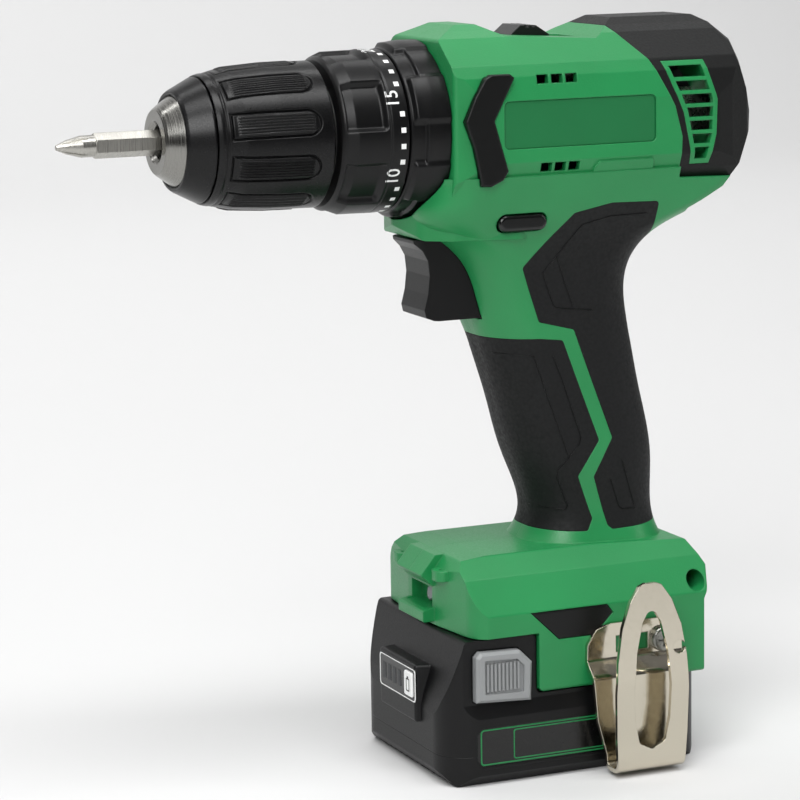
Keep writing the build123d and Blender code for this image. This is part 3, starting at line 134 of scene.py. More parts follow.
def moulded(name, code, grain, rough, strength=0.25, depth=0.04, edge=0.5, drift=0.06, shine=0.5):
    """Moulded plastic: a spark-eroded grain, and a slow drift in colour and roughness."""
    material, tree, shader = blank(name, {
        "Base Color": linear(code), "Roughness": rough, "IOR": 1.5, "Specular IOR Level": shine})
    place = position(tree)
    fine = add(tree, "ShaderNodeTexNoise", {"Vector": place, "Scale": per_mm(grain), "Detail": 3.0})
    slow = add(tree, "ShaderNodeTexNoise", {"Vector": place, "Scale": per_mm(28.0), "Detail": 2.0})
    shade = remap(tree, slow.outputs["Fac"], NOISE_SPAN, (1 - drift, 1 + drift))
    colour = add(tree, "ShaderNodeVectorMath", {0: linear(code)[:3], "Scale": shade},
                 operation="SCALE")
    tree.links.new(colour.outputs["Vector"], shader.inputs["Base Color"])
    vary_gloss(tree, shader, fine.outputs["Fac"], (rough - 0.05, rough + 0.06))
    soften(tree, shader, fine.outputs["Fac"], strength, depth, edge)
    return material


def leather_rubber(name, code):
    """Soft grip rubber with the pebbled, leather-like grain that is etched into its mould."""
    material, tree, shader = blank(name, {
        "Base Color": linear(code), "Roughness": 0.6, "IOR": 1.52, "Specular IOR Level": 0.3})
    place = position(tree)
    cells = add(tree, "ShaderNodeTexVoronoi", {
        "Vector": place, "Scale": per_mm(0.95), "Randomness": 1.0}, feature="SMOOTH_F1")
    wobble = add(tree, "ShaderNodeTexNoise", {"Vector": place, "Scale": per_mm(0.5), "Detail": 2.0})
    height = add(tree, "ShaderNodeMath", {0: cells.outputs["Distance"], 1: wobble.outputs["Fac"]},
                 operation="MULTIPLY")
    vary_gloss(tree, shader, cells.outputs["Distance"], (0.5, 0.72), source=(0.0, 0.8))
    soften(tree, shader, height.outputs["Value"], strength=0.55, depth=0.16, edge=0.5)
    return material


def turned_metal(name, code, rough, strength=0.12):
    """Metal from a lathe: rings about the chuck axis, seen as fine streaks round the part."""
    material, tree, shader = blank(name, {
        "Base Color": linear(code), "Metallic": 1.0, "Roughness": rough, "Anisotropic": 0.4})
    place = position(tree)
    stretched = add(tree, "ShaderNodeMapping", {
        "Vector": place, "Scale": (per_mm(0.12), per_mm(14.0), per_mm(14.0))})
    lines = add(tree, "ShaderNodeTexNoise", {"Vector": stretched.outputs["Vector"], "Scale": 1.0})
    vary_gloss(tree, shader, lines.outputs["Fac"], (rough - 0.1, rough + 0.12))
    soften(tree, shader, lines.outputs["Fac"], strength, depth=0.02, edge=0.25)
    return material


def plated(name, code, rough):
    """Bright nickel over rolled sheet: nearly mirror-like, with a faint waviness of the steel."""
    material, tree, shader = blank(name, {
        "Base Color": linear(code), "Metallic": 1.0, "Roughness": rough})
    place = position(tree)
    wave = add(tree, "ShaderNodeTexNoise", {"Vector": place, "Scale": per_mm(9.0), "Detail": 2.0})
    haze = add(tree, "ShaderNodeTexNoise", {"Vector": place, "Scale": per_mm(1.4), "Detail": 4.0})
    vary_gloss(tree, shader, haze.outputs["Fac"], (rough, rough + 0.1), source=(0.35, 0.75))
    soften(tree, shader, wave.outputs["Fac"], strength=0.12, depth=0.3, edge=0.35)
    return material


def bare_iron(name, code, rough, metal=1.0):
    """Sintered, ground or pressed parts inside: matt, slightly uneven, never polished."""
    material, tree, shader = blank(name, {
        "Base Color": linear(code), "Metallic": metal, "Roughness": rough})
    place = position(tree)
    speck = add(tree, "ShaderNodeTexNoise", {"Vector": place, "Scale": per_mm(0.8), "Detail": 4.0})
    vary_gloss(tree, shader, speck.outputs["Fac"], (rough - 0.1, rough + 0.12))
    soften(tree, shader, speck.outputs["Fac"], strength=0.3, depth=0.05, edge=0.2)
    return material


def lens_plastic(name, code):
    """Milky polycarbonate over the lamp: light goes a little way in."""
    material, tree, shader = blank(name, {
        "Base Color": linear(code), "Roughness": 0.08, "IOR": 1.58, "Transmission Weight": 0.35,
        "Subsurface Weight": 0.3, "Subsurface Radius": (0.002, 0.002, 0.002)})
    place = position(tree)
    cloud = add(tree, "ShaderNodeTexNoise", {"Vector": place, "Scale": per_mm(1.5)})
    soften(tree, shader, cloud.outputs["Fac"], strength=0.2, depth=0.05, edge=0.3)
    return material


# %% [markdown]
# ## What each slot is made of
# The shells of a drill are glass-filled nylon, the loud colour moulded through and the surface
# spark-eroded to a fine satin. The black rear cap is the same plastic with a coarser erosion. Grips
# are TPE rubber moulded over the nylon. The rings are harder black plastic with a smoother surface.
# The hook is spring sheet, nickel plated.

# %% Materials by slot
SHELL_GREEN = "1c8448"
finish = {
    "green_shell": moulded("nylon_green_satin", SHELL_GREEN, grain=0.5, rough=0.38, strength=0.55,
        depth=0.08),
    "dark_green_plate": moulded("nylon_dark_green_plate", "0d6a38", grain=0.5, rough=0.4,
        depth=0.03),
    "black_shell": moulded("nylon_black_coarse", "090a0a", grain=0.8, rough=0.48, shine=0.3,
        strength=0.5, depth=0.12),
    "bumper_rubber": moulded("rubber_black_smooth", "070808", grain=0.4, rough=0.36, shine=0.3,
        strength=0.12, edge=0.7),
    "grip_rubber": leather_rubber("rubber_black_leather", "08090a"),
    "zinc_screw": plated("steel_zinc_plated", "8f8f8a", 0.25),
    "lamp_lens": lens_plastic("polycarbonate_milky", "9aa0a4"),
    "chuck_steel": turned_metal("steel_turned_nickel", "8c8b87", 0.22),
    "chuck_plastic": moulded("nylon_black_chuck", "060607", grain=0.3, rough=0.3, shine=0.3,
        strength=0.12, edge=0.4),
    "ring_plastic": moulded("nylon_black_ring", "070708", grain=0.3, rough=0.34, shine=0.3,
        strength=0.15, edge=0.4),
    "gear_steel": bare_iron("steel_sintered", "8b8b89", 0.36),
    "bit_steel": turned_metal("steel_bit_blasted", "b0aea8", 0.3, strength=0.08),
    "gearbox_plastic": moulded("nylon_grey_gearbox", "2b2d30", grain=0.6, rough=0.5),
    "spring_steel": plated("steel_spring_wire", "8a8a88", 0.25),
    "motor_steel": bare_iron("steel_zinc_motor_can", "b4b4ae", 0.3),
    "magnet_ferrite": bare_iron("ferrite_magnet", "2b2a2a", 0.6, 0.0),
    "rotor_iron": bare_iron("iron_laminated", "6f6b66", 0.4),
    "brush_carbon": bare_iron("carbon_brush", "242323", 0.55, 0.0),
    "trigger_plastic": moulded("nylon_black_trigger", "070708", grain=0.4, rough=0.36, shine=0.3,
        strength=0.15, edge=0.6),
    "gloss_black": moulded("nylon_black_gloss", "0b0c0c", grain=0.6, rough=0.12, strength=0.05,
        edge=0.5),
    "selector_plastic": moulded("nylon_black_selector", "0c0d0d", grain=0.4, rough=0.36,
        strength=0.15),
    "battery_plastic": moulded("nylon_black_battery", "070708", grain=0.5, rough=0.4, shine=0.3,
        strength=0.3, depth=0.06),
    "label_film": moulded("film_black_label", "0a0a0a", grain=0.5, rough=0.22, strength=0.05,
        edge=0.2),
    "latch_grey": moulded("nylon_grey_latch", "8f9192", grain=0.4, rough=0.42, strength=0.2,
        edge=0.4),
    "gauge_film": moulded("film_black_gauge", "0c0d0e", grain=0.5, rough=0.18, strength=0.05,
        edge=0.2),
    "gauge_white": moulded("film_white_print", "f0f1f0", grain=0.5, rough=0.35, strength=0.05,
        edge=0.1),
    "cell_sleeve": moulded("pvc_cell_sleeve", "3f6f9a", grain=0.6, rough=0.25, strength=0.08),
    "circuit_board": moulded("glass_epoxy_board", "1f5a34", grain=0.7, rough=0.35, strength=0.12),
    "contact_brass": turned_metal("brass_contact", "c9a357", 0.25),
    "nickel_plate": plated("steel_nickel_plated", "cdc6b6", 0.1),
}
for name, obj in nodes.items():
    obj.data.materials.clear()
    obj.data.materials.append(finish[slot_of[name]])
print(len(finish), "finishes on", len(nodes), "nodes")


# %% [markdown]
# ## Turned rings: a height field round the axis
# The chuck sleeve, clutch ring and mode ring carry fine moulded relief. On a lathe-like part the
# radius is a function of the place along the axis and the angle round it, so one mesh grid per ring
# gives relief at any fineness. The angle is measured from the side that faces -Y, upwards, and the
# bore closes the mesh to a solid ring.

# %% The ring maker
def closed_mesh(name, points, faces):
    """A mesh with all of its faces turned outwards."""
    mesh = bpy.data.meshes.new(name)
    mesh.from_pydata(points, [], faces)
    work = bmesh.new()
    work.from_mesh(mesh)
    bmesh.ops.recalc_face_normals(work, faces=work.faces)
    work.to_mesh(mesh)
    work.free()
    return mesh


def add_piece(name, mesh, slot, body):
    """Shows a mesh as a piece with the finish of a slot, riding on a body."""
    mesh.materials.append(finish[slot])
    made = bpy.data.objects.new(name, mesh)
    bpy.context.scene.collection.objects.link(made)
    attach(made, body)
    return made


def step(a, b, x):
    """0 below a, 1 above b, smooth between."""
    t = min(1.0, max(0.0, (x - a) / (b - a)))
    return t * t * (3 - 2 * t)


def along(profile, x):
    """The radius of a turned profile at x, straight between its points."""
    for (x0, r0), (x1, r1) in zip(profile, profile[1:]):
        if x <= x1:
            return r0 + (r1 - r0) * max(0.0, x - x0) / (x1 - x0)
    return profile[-1][1]


def off_centre(degrees, first, count):
    """Degrees from the nearest of `count` features round the ring."""
    pitch = 360 / count
    return (degrees - first + pitch / 2) % pitch - pitch / 2


def relief_ring(name, node, slot, body, profile, bore, radius, pace=0.2, turns=720):
    """A closed ring: radius(x, degrees) outside, a plain bore inside, all in millimetres."""
    start, end = profile[0][0], profile[-1][0]
    count = round((end - start) / pace)
    stations = [start + (end - start) * i / count for i in range(count + 1)]
    rows = [[radius(x, 360 * k / turns) for k in range(turns)] for x in stations]
    rows = [[bore] * turns] + rows + [[bore] * turns]
    stations = [start] + stations + [end]
    points = []
    for x, row in zip(stations, rows):
        for k, r in enumerate(row):
            angle = math.radians(360 * k / turns)
            points.append((x * MM, -r * math.cos(angle) * MM, AXIS_Z + r * math.sin(angle) * MM))
    rings = len(stations)
    faces = []
    for i in range(rings):
        j = (i + 1) % rings
        for k in range(turns):
            m = (k + 1) % turns
            faces.append((i * turns + k, j * turns + k, j * turns + m, i * turns + m))
    mesh = closed_mesh(name, points, faces)
    mesh.shade_smooth()
    mesh.set_sharp_from_angle(angle=math.radians(40))
    made = add_piece(name, mesh, slot, body)
    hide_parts(node)
    print(name, len(mesh.polygons), "faces")


# %% [markdown]
# ### Chuck sleeve
# Ten gripping panels stand in U-shaped grooves, each with seven fine ribs. A small groove runs
# round the sleeve's front edge.

# %% Chuck sleeve
SLEEVE_PROFILE = [(-107.0, 18.6), (-105.8, 19.0), (-104.0, 19.2), (-99.0, 20.4), (-88.0, 21.2),
                  (-73.2, 21.4)]
SLEEVE_BORE = 17.0
SLEEVE_MARGIN = 0.15  # how far the relief keeps below the profile
PANELS = 10
PANEL_FIRST = 14.5  # degrees to the middle of the first panel
PANEL_HALF = 3.7
PANEL_X = (-103.0, -77.0)
PANEL_DROP = 0.0875
GROOVE_DEPTH = 0.8
GROOVE_HALF = 0.45
RIBS_HALF = 2.9
RIB_PITCH = 0.83
RIB_HEIGHT = 0.36
RIBS_START = (-101.4, -100.8)  # where the ribs rise from nothing
RIBS_END = (-79.2, -78.5)
NOSE_GROOVE = 0.3


def sleeve_radius(x, degrees):
    base = along(SLEEVE_PROFILE, x)
    side = math.radians(off_centre(degrees, PANEL_FIRST, PANELS)) * base
    front, rear = PANEL_X
    # how far inside the panel's outline: square at the front, round at the rear
    rear_round = max(0.0, x - (rear - PANEL_HALF))
    inside = min(PANEL_HALF - math.hypot(side, rear_round), x - front)
    groove = 0.0
    if x > front - 0.6:
        groove = GROOVE_DEPTH * max(0.0, 1 - abs(inside) / GROOVE_HALF)
    panel = PANEL_DROP * step(0.4, 0.9, inside)
    ribs = 0.0
    if abs(side) < RIBS_HALF:
        wave = 0.5 + 0.5 * math.cos(2 * math.pi * side / RIB_PITCH)
        ribs = RIB_HEIGHT * wave * step(*RIBS_START, x) * (1 - step(*RIBS_END, x))
    nose_groove = NOSE_GROOVE * (step(-104.9, -104.6, x) - step(-104.2, -103.9, x))
    return base - SLEEVE_MARGIN - groove - panel + ribs - nose_groove


relief_ring("chuck_sleeve_relief", "chuck_sleeve", "chuck_plastic", "sleeve", SLEEVE_PROFILE,
            SLEEVE_BORE, sleeve_radius)

# %% [markdown]
# ### Clutch ring
# Six finger scallops with sloping ends cut the front of the ring. A fine groove runs round it
# behind them, and then come the torque numbers and a row of square dots, printed in white.

# %% Clutch ring
CLUTCH_PROFILE = [(-71.0, 21.6), (-69.6, 22.6), (-66.6, 23.8), (-58.6, 23.9), (-51.2, 23.7)]
CLUTCH_BORE = 17.4
CLUTCH_MARGIN = 0.3  # how far the very front edge keeps below the profile
SCALLOPS = 6
SCALLOP_FIRST = 23.2  # degrees to the middle of the first scallop
SCALLOP_DEPTH = 1.7
CLUTCH_GROOVE = 0.2


def clutch_radius(x, degrees):
    turn = abs(off_centre(degrees, SCALLOP_FIRST, SCALLOPS))
    cut = (1 - step(15.2, 19.4, turn)) * step(-69.9, -69.0, x) * (1 - step(-59.0, -57.0, x))
    groove = CLUTCH_GROOVE * (step(-56.9, -56.7, x) - step(-56.3, -56.1, x))
    margin = CLUTCH_MARGIN * (1 - step(-70.9, -70.5, x))
    return along(CLUTCH_PROFILE, x) - SCALLOP_DEPTH * cut - groove - margin


relief_ring("clutch_ring_relief", "clutch_ring", "ring_plastic", "clutch_ring", CLUTCH_PROFILE,
            CLUTCH_BORE, clutch_radius)

# %% [markdown]
# ### Mode ring
# Six raised lands with sloping sides stand between lower panels that start with a dark step.

# %% Mode ring
MODE_PROFILE = [(-50.6, 23.7), (-46.6, 25.2), (-43.6, 26.0), (-38.7, 26.0)]
MODE_BORE = 22.6
MODE_MOST = 25.98  # the ring's greatest radius
LAND_FIRST = 25.4  # degrees to the middle of the first land
FRONT_CUT = 0.48


def mode_radius(x, degrees):
    turn = abs(off_centre(degrees, LAND_FIRST, SCALLOPS))
    land = (1 - step(13.5, 18.5, turn)) * step(-50.1, -49.3, x)
    raised = 24.0 + 1.5 * step(-49.9, -48.6, x) + 0.45 * step(-48.6, -43.6, x)
    low = 23.9 + 0.3 * step(-50.6, -46.4, x) + 1.0 * step(-46.3, -45.6, x)
    return min(low + (raised - low) * land, MODE_MOST) - FRONT_CUT * (1 - step(-50.6, -50.2, x))


relief_ring("mode_ring_relief", "mode_ring", "ring_plastic", "mode_ring", MODE_PROFILE, MODE_BORE,
            mode_radius)


# %% [markdown]
# ## Printed marks
# Printing is a film of ink a few hundredths of a millimetre thick. Here each mark is a thin mesh,
# laid on the ring's round surface, on a flat wall, or dropped on to a shell with a ray.

# %% Mark helpers
def thin_piece(name, points, faces, slot, body):
    """A mesh of points in millimetres, with the finish of a slot, riding on a body."""
    scaled = [tuple(c * MM for c in p) for p in points]
    add_piece(name, closed_mesh(name, scaled, faces), slot, body)


def slab(outline, place, low, high, points, faces):
    """Adds a thin plate to points and faces: place(u, v, height) puts an outline point in space."""
    count, base = len(outline), len(points)
    points += [place(u, v, low) for u, v in outline] + [place(u, v, high) for u, v in outline]
    faces.append(tuple(base + i for i in reversed(range(count))))
    faces.append(tuple(base + count + i for i in range(count)))
    for i in range(count):
        j = (i + 1) % count
        faces.append((base + i, base + j, base + count + j, base + count + i))


def frame_strip(outer, inner, place, low, high, points, faces):
    """Adds the flat band between two outlines that have the same number of points."""
    count, base = len(outer), len(points)
    for loop, height in ((outer, low), (inner, low), (outer, high), (inner, high)):
        points += [place(u, v, height) for u, v in loop]
    for i in range(count):
        j = (i + 1) % count
        for a, b in ((0, 1), (2, 3), (0, 2), (1, 3)):
            faces.append((base + a * count + i, base + a * count + j,
                          base + b * count + j, base + b * count + i))


def rounded(u0, u1, v0, v1, r, steps=6):
    """A rounded rectangle as a list of points."""
    corners = [(u1 - r, v1 - r, 0), (u0 + r, v1 - r, 90),
               (u0 + r, v0 + r, 180), (u1 - r, v0 + r, 270)]
    found = []
    for cu, cv, start in corners:
        for k in range(steps + 1):
            angle = math.radians(start + 90 * k / steps)
            found.append((cu + r * math.cos(angle), cv + r * math.sin(angle)))
    return found


def shrunk(span, by):
    """A (u0, u1, v0, v1) span drawn in by the same width on all sides."""
    u0, u1, v0, v1 = span
    return u0 + by, u1 - by, v0 + by, v1 - by


def on_ring(radius):
    """Places (mm along the axis, degrees) on the ring's surface."""
    def place(u, v, height):
        angle = math.radians(v)
        r = radius + height
        return (u, -r * math.cos(angle), AXIS_Z / MM + r * math.sin(angle))
    return place


# %% Clutch scale
CLUTCH_SURFACE = 23.75
DOT_X = (-53.7, -52.2)
DOT_HALF = 0.75 / 23.7 * 57.3  # degrees
DOT_PITCH = 11.25  # degrees
SCALE_PLACES = 24
NUMBERS = {0: "1", 4: "5", 9: "10", 14: "15", 19: "20"}  # place on the scale: number printed there
SCALE_ZERO = -29.2 - 9 * DOT_PITCH  # degrees to the first place, so that the ten is at -29.2
TEXT_SIZE = 5.6
on_clutch = on_ring(CLUTCH_SURFACE)
points, faces = [], []
for i in range(SCALE_PLACES):
    if i not in NUMBERS:
        middle = SCALE_ZERO + DOT_PITCH * i
        slab([(DOT_X[0], middle - DOT_HALF), (DOT_X[1], middle - DOT_HALF),
              (DOT_X[1], middle + DOT_HALF), (DOT_X[0], middle + DOT_HALF)],
             on_clutch, -0.3, 0.06, points, faces)
for i, number in NUMBERS.items():
    middle = SCALE_ZERO + DOT_PITCH * i
    curve = bpy.data.curves.new("scale", type="FONT")
    curve.body, curve.size, curve.align_x, curve.extrude = number, TEXT_SIZE, "CENTER", 0.18
    curve.resolution_u, curve.offset = 6, 0.03
    holder = bpy.data.objects.new("scale", curve)
    bpy.context.scene.collection.objects.link(holder)
    bpy.context.view_layer.update()
    flat = bpy.data.meshes.new_from_object(
        holder.evaluated_get(bpy.context.evaluated_depsgraph_get()))
    base = len(points)
    for vertex in flat.vertices:
        across, up, height = vertex.co
        points.append(on_clutch(DOT_X[0] + 0.2 - up,
                                middle + math.degrees(across / CLUTCH_SURFACE), height - 0.1))
    faces += [tuple(base + i for i in polygon.vertices) for polygon in flat.polygons]
    bpy.data.objects.remove(holder)
    bpy.data.curves.remove(curve)
    bpy.data.meshes.remove(flat)
thin_piece("clutch_scale", points, faces, "gauge_white", "clutch_ring")

# %% [markdown]
# ### Charge gauge
# A black film with a white border, four dark bars that light up, and a white button with a little
# battery on it.

# %% Charge gauge
face_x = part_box("gauge_panel")[0].x / MM
button_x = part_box("gauge_button")[0].x / MM
# spans are (y from, y to, z from, z to)
GAUGE = (-13.2, 13.2, 21.8, 32.2)
BUTTON_FILM = (-11.3, -6.1, 23.5, 30.5)
BATTERY_MARK = (-9.9, -7.5, 24.7, 28.7)
BATTERY_TIP = (-9.2, -8.2, 28.7, 29.3)
BARS = 4
BAR_FIRST, BAR_PITCH, BAR_WIDTH = -2.6, 3.7, 2.4
BAR_Z = (24.6, 29.6)


def on_front(surface):
    """Places (y, z) on a wall that faces -X."""
    return lambda u, v, height: (surface - height, u, v)


points, faces = [], []
frame_strip(rounded(*GAUGE, 1.4), rounded(*shrunk(GAUGE, 0.5), 1.1), on_front(face_x), -0.1, 0.06,
            points, faces)
thin_piece("gauge_border", points, faces, "gauge_white", "battery")
points, faces = [], []
for i in range(BARS):
    left = BAR_FIRST + i * BAR_PITCH
    slab(rounded(left, left + BAR_WIDTH, *BAR_Z, 0.3), on_front(face_x), -0.1, 0.08, points, faces)
thin_piece("gauge_bars", points, faces, "gearbox_plastic", "battery")
points, faces = [], []
slab(rounded(*BUTTON_FILM, 0.7), on_front(button_x), -0.1, 0.04, points, faces)
thin_piece("gauge_button_film", points, faces, "gauge_white", "gauge_button")
points, faces = [], []
frame_strip(rounded(*BATTERY_MARK, 0.3), rounded(*shrunk(BATTERY_MARK, 0.4), 0.15),
            on_front(button_x), 0.0, 0.08, points, faces)
slab(rounded(*BATTERY_TIP, 0.1), on_front(button_x), 0.0, 0.08, points, faces)
thin_piece("gauge_battery_mark", points, faces, "gauge_film", "gauge_button")

# %% [markdown]
# ### Battery label
# The label is left blank: a black field with a green outline, and a green band that runs on to the
# rear.

# %% Battery label
label_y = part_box("battery_labels")[1].y / MM
# spans are (x from, x to, z from, z to)
LABEL = (-35.4, 25.6, 6.0, 17.0)
LABEL_FIELD = (-34.9, 8.2, 6.5, 16.5)
INNER_LINE = (-24.6, 8.8, 6.9, 16.1)


def on_label(side):
    """Places (x, z) on the label of one side."""
    return lambda u, v, height: (u, side * (label_y + height), v)


points, faces = [], []
for side in (-1, 1):
    frame_strip(rounded(*LABEL, 1.0), rounded(*LABEL_FIELD, 0.8), on_label(side), -0.1, 0.04,
                points, faces)
    frame_strip(rounded(*INNER_LINE, 0.8), rounded(*shrunk(INNER_LINE, 0.4), 0.6), on_label(side),
                -0.1, 0.05, points, faces)
thin_piece("label_print", points, faces, "green_shell", "battery")

# %% [markdown]
# ### Rotation mark
# A ring with an angle in it, below the direction selector, tells which way the chuck turns. A
# known fault is left as it is: each side's rays are aimed at the shell half of the other side, so
# the mark ends up inside the tool and isn't seen. Swapping the halves in `housing_side` mends it.

# %% Rotation mark
housing_side = {
    -1: BVHTree.FromObject(nodes["housing_right"], bpy.context.evaluated_depsgraph_get()),
    1: BVHTree.FromObject(nodes["housing_left"], bpy.context.evaluated_depsgraph_get())}
MARK_X, MARK_Z, MARK_R = -18.2, 158.0, 3.4
RING_WIDTH = 0.45
RING_STEPS = 40
OUTSIDE = 0.06  # metres from the middle plane, clear of the shell


def on_side(side):
    """Drops (x, z) on to a shell half along Y."""
    def place(u, v, height):
        start = Vector((u * MM, side * OUTSIDE, v * MM))
        hit = housing_side[side].ray_cast(start, Vector((0, -side, 0)))[0]
        return (u, hit.y / MM + side * height, v)
    return place


def mark_bar(x0, x1, z0, z1):
    """The outline of a bar of the mark, given from the mark's middle."""
    return [(MARK_X + x, MARK_Z + z) for x, z in ((x0, z0), (x0, z1), (x1, z1), (x1, z0))]


points, faces = [], []
for side in (-1, 1):
    for k in range(RING_STEPS):
        a, b = (math.radians(360 * (k + s) / RING_STEPS) for s in (0, 1))
        ring = [(MARK_X + r * math.cos(t), MARK_Z + r * math.sin(t))
                for t, r in ((a, MARK_R), (b, MARK_R),
                             (b, MARK_R - RING_WIDTH), (a, MARK_R - RING_WIDTH))]
        slab(ring, on_side(side), -0.1, 0.03, points, faces)
    slab(mark_bar(-0.6, -0.2, -1.5, 1.6), on_side(side), -0.1, 0.03, points, faces)
    slab(mark_bar(-0.2, 1.3, -1.5, -1.1), on_side(side), -0.1, 0.03, points, faces)
thin_piece("rotation_mark", points, faces, "dark_green_plate", "housing")

# %% [markdown]
# ### Lines in the grip rubber
# Thin raised lines part the leathery fields of the rubber, on both sides of the grip.

# %% Grip lines
GRIP_LINES = [
    [(-25.8, 125.4), (-8.9, 124.2), (2.4, 92.8)],
    [(-2.6, 123.6), (0.3, 116.6), (6.5, 98.5), (6.0, 96.5), (-0.3, 89.0), (-0.5, 86.3), (3.0, 77.4),
     (2.4, 76.2), (-12.6, 77.2)],
    [(25.2, 165.4), (13.3, 165.2), (4.4, 163.1), (-2.0, 154.5), (-6.6, 148.9), (-2.8, 139.3),
     (-1.4, 138.1), (10.1, 136.7)],
    [(-2.3, 153.5), (3.8, 138.1)],
    [(16.6, 84.6), (19.6, 75.9), (20.7, 75.0), (25.3, 75.0)],
    [(20.4, 90.1), (24.9, 75.8)],
]
LINE_HALF = 0.24
LINE_RISE = 0.3
LINE_PACE = 1.2  # length of one stretch of a line
ROOT = -0.15  # how deep the line's foot lies in the rubber
rubber_side = [BVHTree.FromObject(nodes[name], bpy.context.evaluated_depsgraph_get())
               for name in ("front_grip", "rear_grip")]


def on_rubber(side):
    """Drops (x, z) on to the grip rubber from outside, or gives None beside it."""
    def place(u, v, height):
        start = Vector((u * MM, side * OUTSIDE, v * MM))
        hits = [tree.ray_cast(start, Vector((0, -side, 0)))[0] for tree in rubber_side]
        hits = [hit.y / MM for hit in hits if hit is not None and hit.y * side > 0]
        return (u, (max(hits) if side > 0 else min(hits)) + side * height, v) if hits else None
    return place


def ridge(line, place, points, faces):
    """Adds a small raised line with a sharp crest along (u, v) points."""
    samples = []
    for (u0, v0), (u1, v1) in zip(line, line[1:]):
        count = max(1, round(math.hypot(u1 - u0, v1 - v0) / LINE_PACE))
        samples += [(u0 + (u1 - u0) * k / count, v0 + (v1 - v0) * k / count) for k in range(count)]
    samples.append(line[-1])
    base = len(points)
    kept = 0
    for i, (u, v) in enumerate(samples):
        before, after = samples[max(0, i - 1)], samples[min(len(samples) - 1, i + 1)]
        length = math.hypot(after[0] - before[0], after[1] - before[1])
        nu = -(after[1] - before[1]) / length * LINE_HALF
        nv = (after[0] - before[0]) / length * LINE_HALF
        row = [place(u + nu, v + nv, ROOT), place(u, v, LINE_RISE), place(u - nu, v - nv, ROOT)]
        if all(row):
            points += row
            kept += 1
    for i in range(kept - 1):
        a, b = base + 3 * i, base + 3 * i + 3
        for p, q in ((0, 1), (1, 2), (2, 0)):
            faces.append((a + p, b + p, b + q, a + q))
    faces.append((base, base + 1, base + 2))
    faces.append((base + 3 * kept - 1, base + 3 * kept - 2, base + 3 * kept - 3))


points, faces = [], []
for side in (-1, 1):
    for line in GRIP_LINES:
        ridge(line, on_rubber(side), points, faces)
thin_piece("grip_lines", points, faces, "bumper_rubber", "housing")

# %% [markdown]
# ## Studio
# The tool stands on pale paper that curves up behind it. Two large soft lights, from the left and
# from above, make the long highlights on the black rings. A strip from the right lifts the far
# side, a weak low light opens the shadows, one light is for the backdrop alone, and the pale
# surroundings fill the rest.

# %% Floor
PAPER_HALF = 6.0
BEND_START, BEND_R = 1.6, 0.9  # where the paper starts to curve up, and how tightly
PAPER_TOP = 5.0
PAPER_DROP = 0.0002  # keeps the paper clear of the battery's underside
bend = [(BEND_START + BEND_R * math.sin(t), BEND_R - BEND_R * math.cos(t))
        for t in (math.radians(degrees) for degrees in range(0, 91, 6))]
sweep = [(-PAPER_HALF, 0.0)] + bend + [(BEND_START + BEND_R, PAPER_TOP)]
floor = bpy.data.meshes.new("floor")
corners = [(x, y, z - PAPER_DROP) for y, z in sweep for x in (-PAPER_HALF, PAPER_HALF)]
strips = [(2 * i, 2 * i + 1, 2 * i + 3, 2 * i + 2) for i in range(len(sweep) - 1)]
floor.from_pydata(corners, [], strips)
floor.shade_smooth()
paper, paper_tree, paper_shader = blank("paper_white", {
    "Base Color": linear("dadada"), "Roughness": 0.9})
fibre = add(paper_tree, "ShaderNodeTexNoise", {
    "Vector": position(paper_tree), "Scale": per_mm(1.0)})
soften(paper_tree, paper_shader, fibre.outputs["Fac"], strength=0.1, depth=0.05, edge=0.1)
floor.materials.append(paper)
floor_piece = bpy.data.objects.new("floor", floor)
bpy.context.scene.collection.objects.link(floor_piece)


# %% Lights
TOOL_MIDDLE = (0.0, 0.0, 0.12)


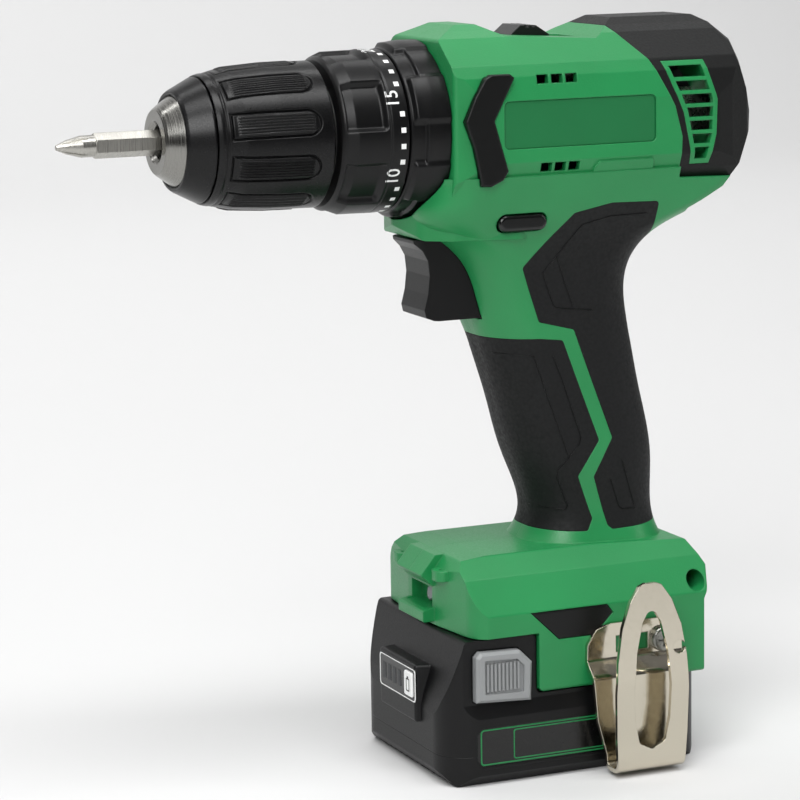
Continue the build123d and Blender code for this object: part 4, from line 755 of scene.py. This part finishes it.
def softbox(name, place, aim, size, power):
    """A rectangular light in metres and watts, turned towards a point."""
    lamp = bpy.data.lights.new(name, "AREA")
    lamp.shape, lamp.size, lamp.size_y, lamp.energy = "RECTANGLE", size[0], size[1], power
    made = bpy.data.objects.new(name, lamp)
    made.location = place
    made.rotation_euler = (Vector(aim) - Vector(place)).to_track_quat("-Z", "Y").to_euler()
    bpy.context.scene.collection.objects.link(made)


softbox("key_left", (-0.75, -0.95, 0.95), TOOL_MIDDLE, (0.7, 0.7), 12)
softbox("strip_right", (1.1, -0.7, 0.55), TOOL_MIDDLE, (0.25, 0.9), 2.6)
softbox("top", (-0.1, -0.35, 1.35), TOOL_MIDDLE, (1.2, 0.5), 13)
softbox("low_front", (-0.5, -1.3, 0.2), TOOL_MIDDLE, (0.9, 0.3), 0.5)
softbox("backdrop_wash", (0.0, 0.9, 1.9), (0.0, 2.3, 0.5), (3.0, 0.8), 46)

# the surroundings grow brighter with height, so undersides stay dark
world = bpy.data.worlds.new("studio")
world.use_nodes = True
studio = world.node_tree
direction = add(studio, "ShaderNodeSeparateXYZ",
                {"Vector": add(studio, "ShaderNodeTexCoord").outputs["Generated"]})
brightness = remap(studio, direction.outputs["Z"], (-0.1, 0.9), (0.03, 0.22))
studio.links.new(brightness, studio.nodes["Background"].inputs["Strength"])
studio.nodes["Background"].inputs["Color"].default_value = linear("fafafa")
bpy.context.scene.world = world
bpy.context.scene.view_settings.view_transform = "Standard"

# %% Camera
AZIMUTH, ELEVATION, ROLL = (math.radians(a) for a in (-23.626, 9.977, -0.946))
TARGET = (-0.04518, 0.0, 0.11154)
DISTANCE = 0.93353
back = Vector((math.sin(AZIMUTH) * math.cos(ELEVATION), -math.cos(AZIMUTH) * math.cos(ELEVATION),
               math.sin(ELEVATION)))
right = Vector((math.cos(AZIMUTH), math.sin(AZIMUTH), 0))
up = back.cross(right)
tilted_right = right * math.cos(ROLL) + up * math.sin(ROLL)
tilted_up = back.cross(tilted_right)
lens = bpy.data.cameras.new("camera")
lens.lens, lens.sensor_width = 141.4, 36.0  # millimetres
camera = bpy.data.objects.new("camera", lens)
camera.matrix_world = Matrix((tilted_right, tilted_up, back)).transposed().to_4x4()
camera.location = Vector(TARGET) + back * DISTANCE
bpy.context.scene.collection.objects.link(camera)
bpy.context.scene.camera = camera
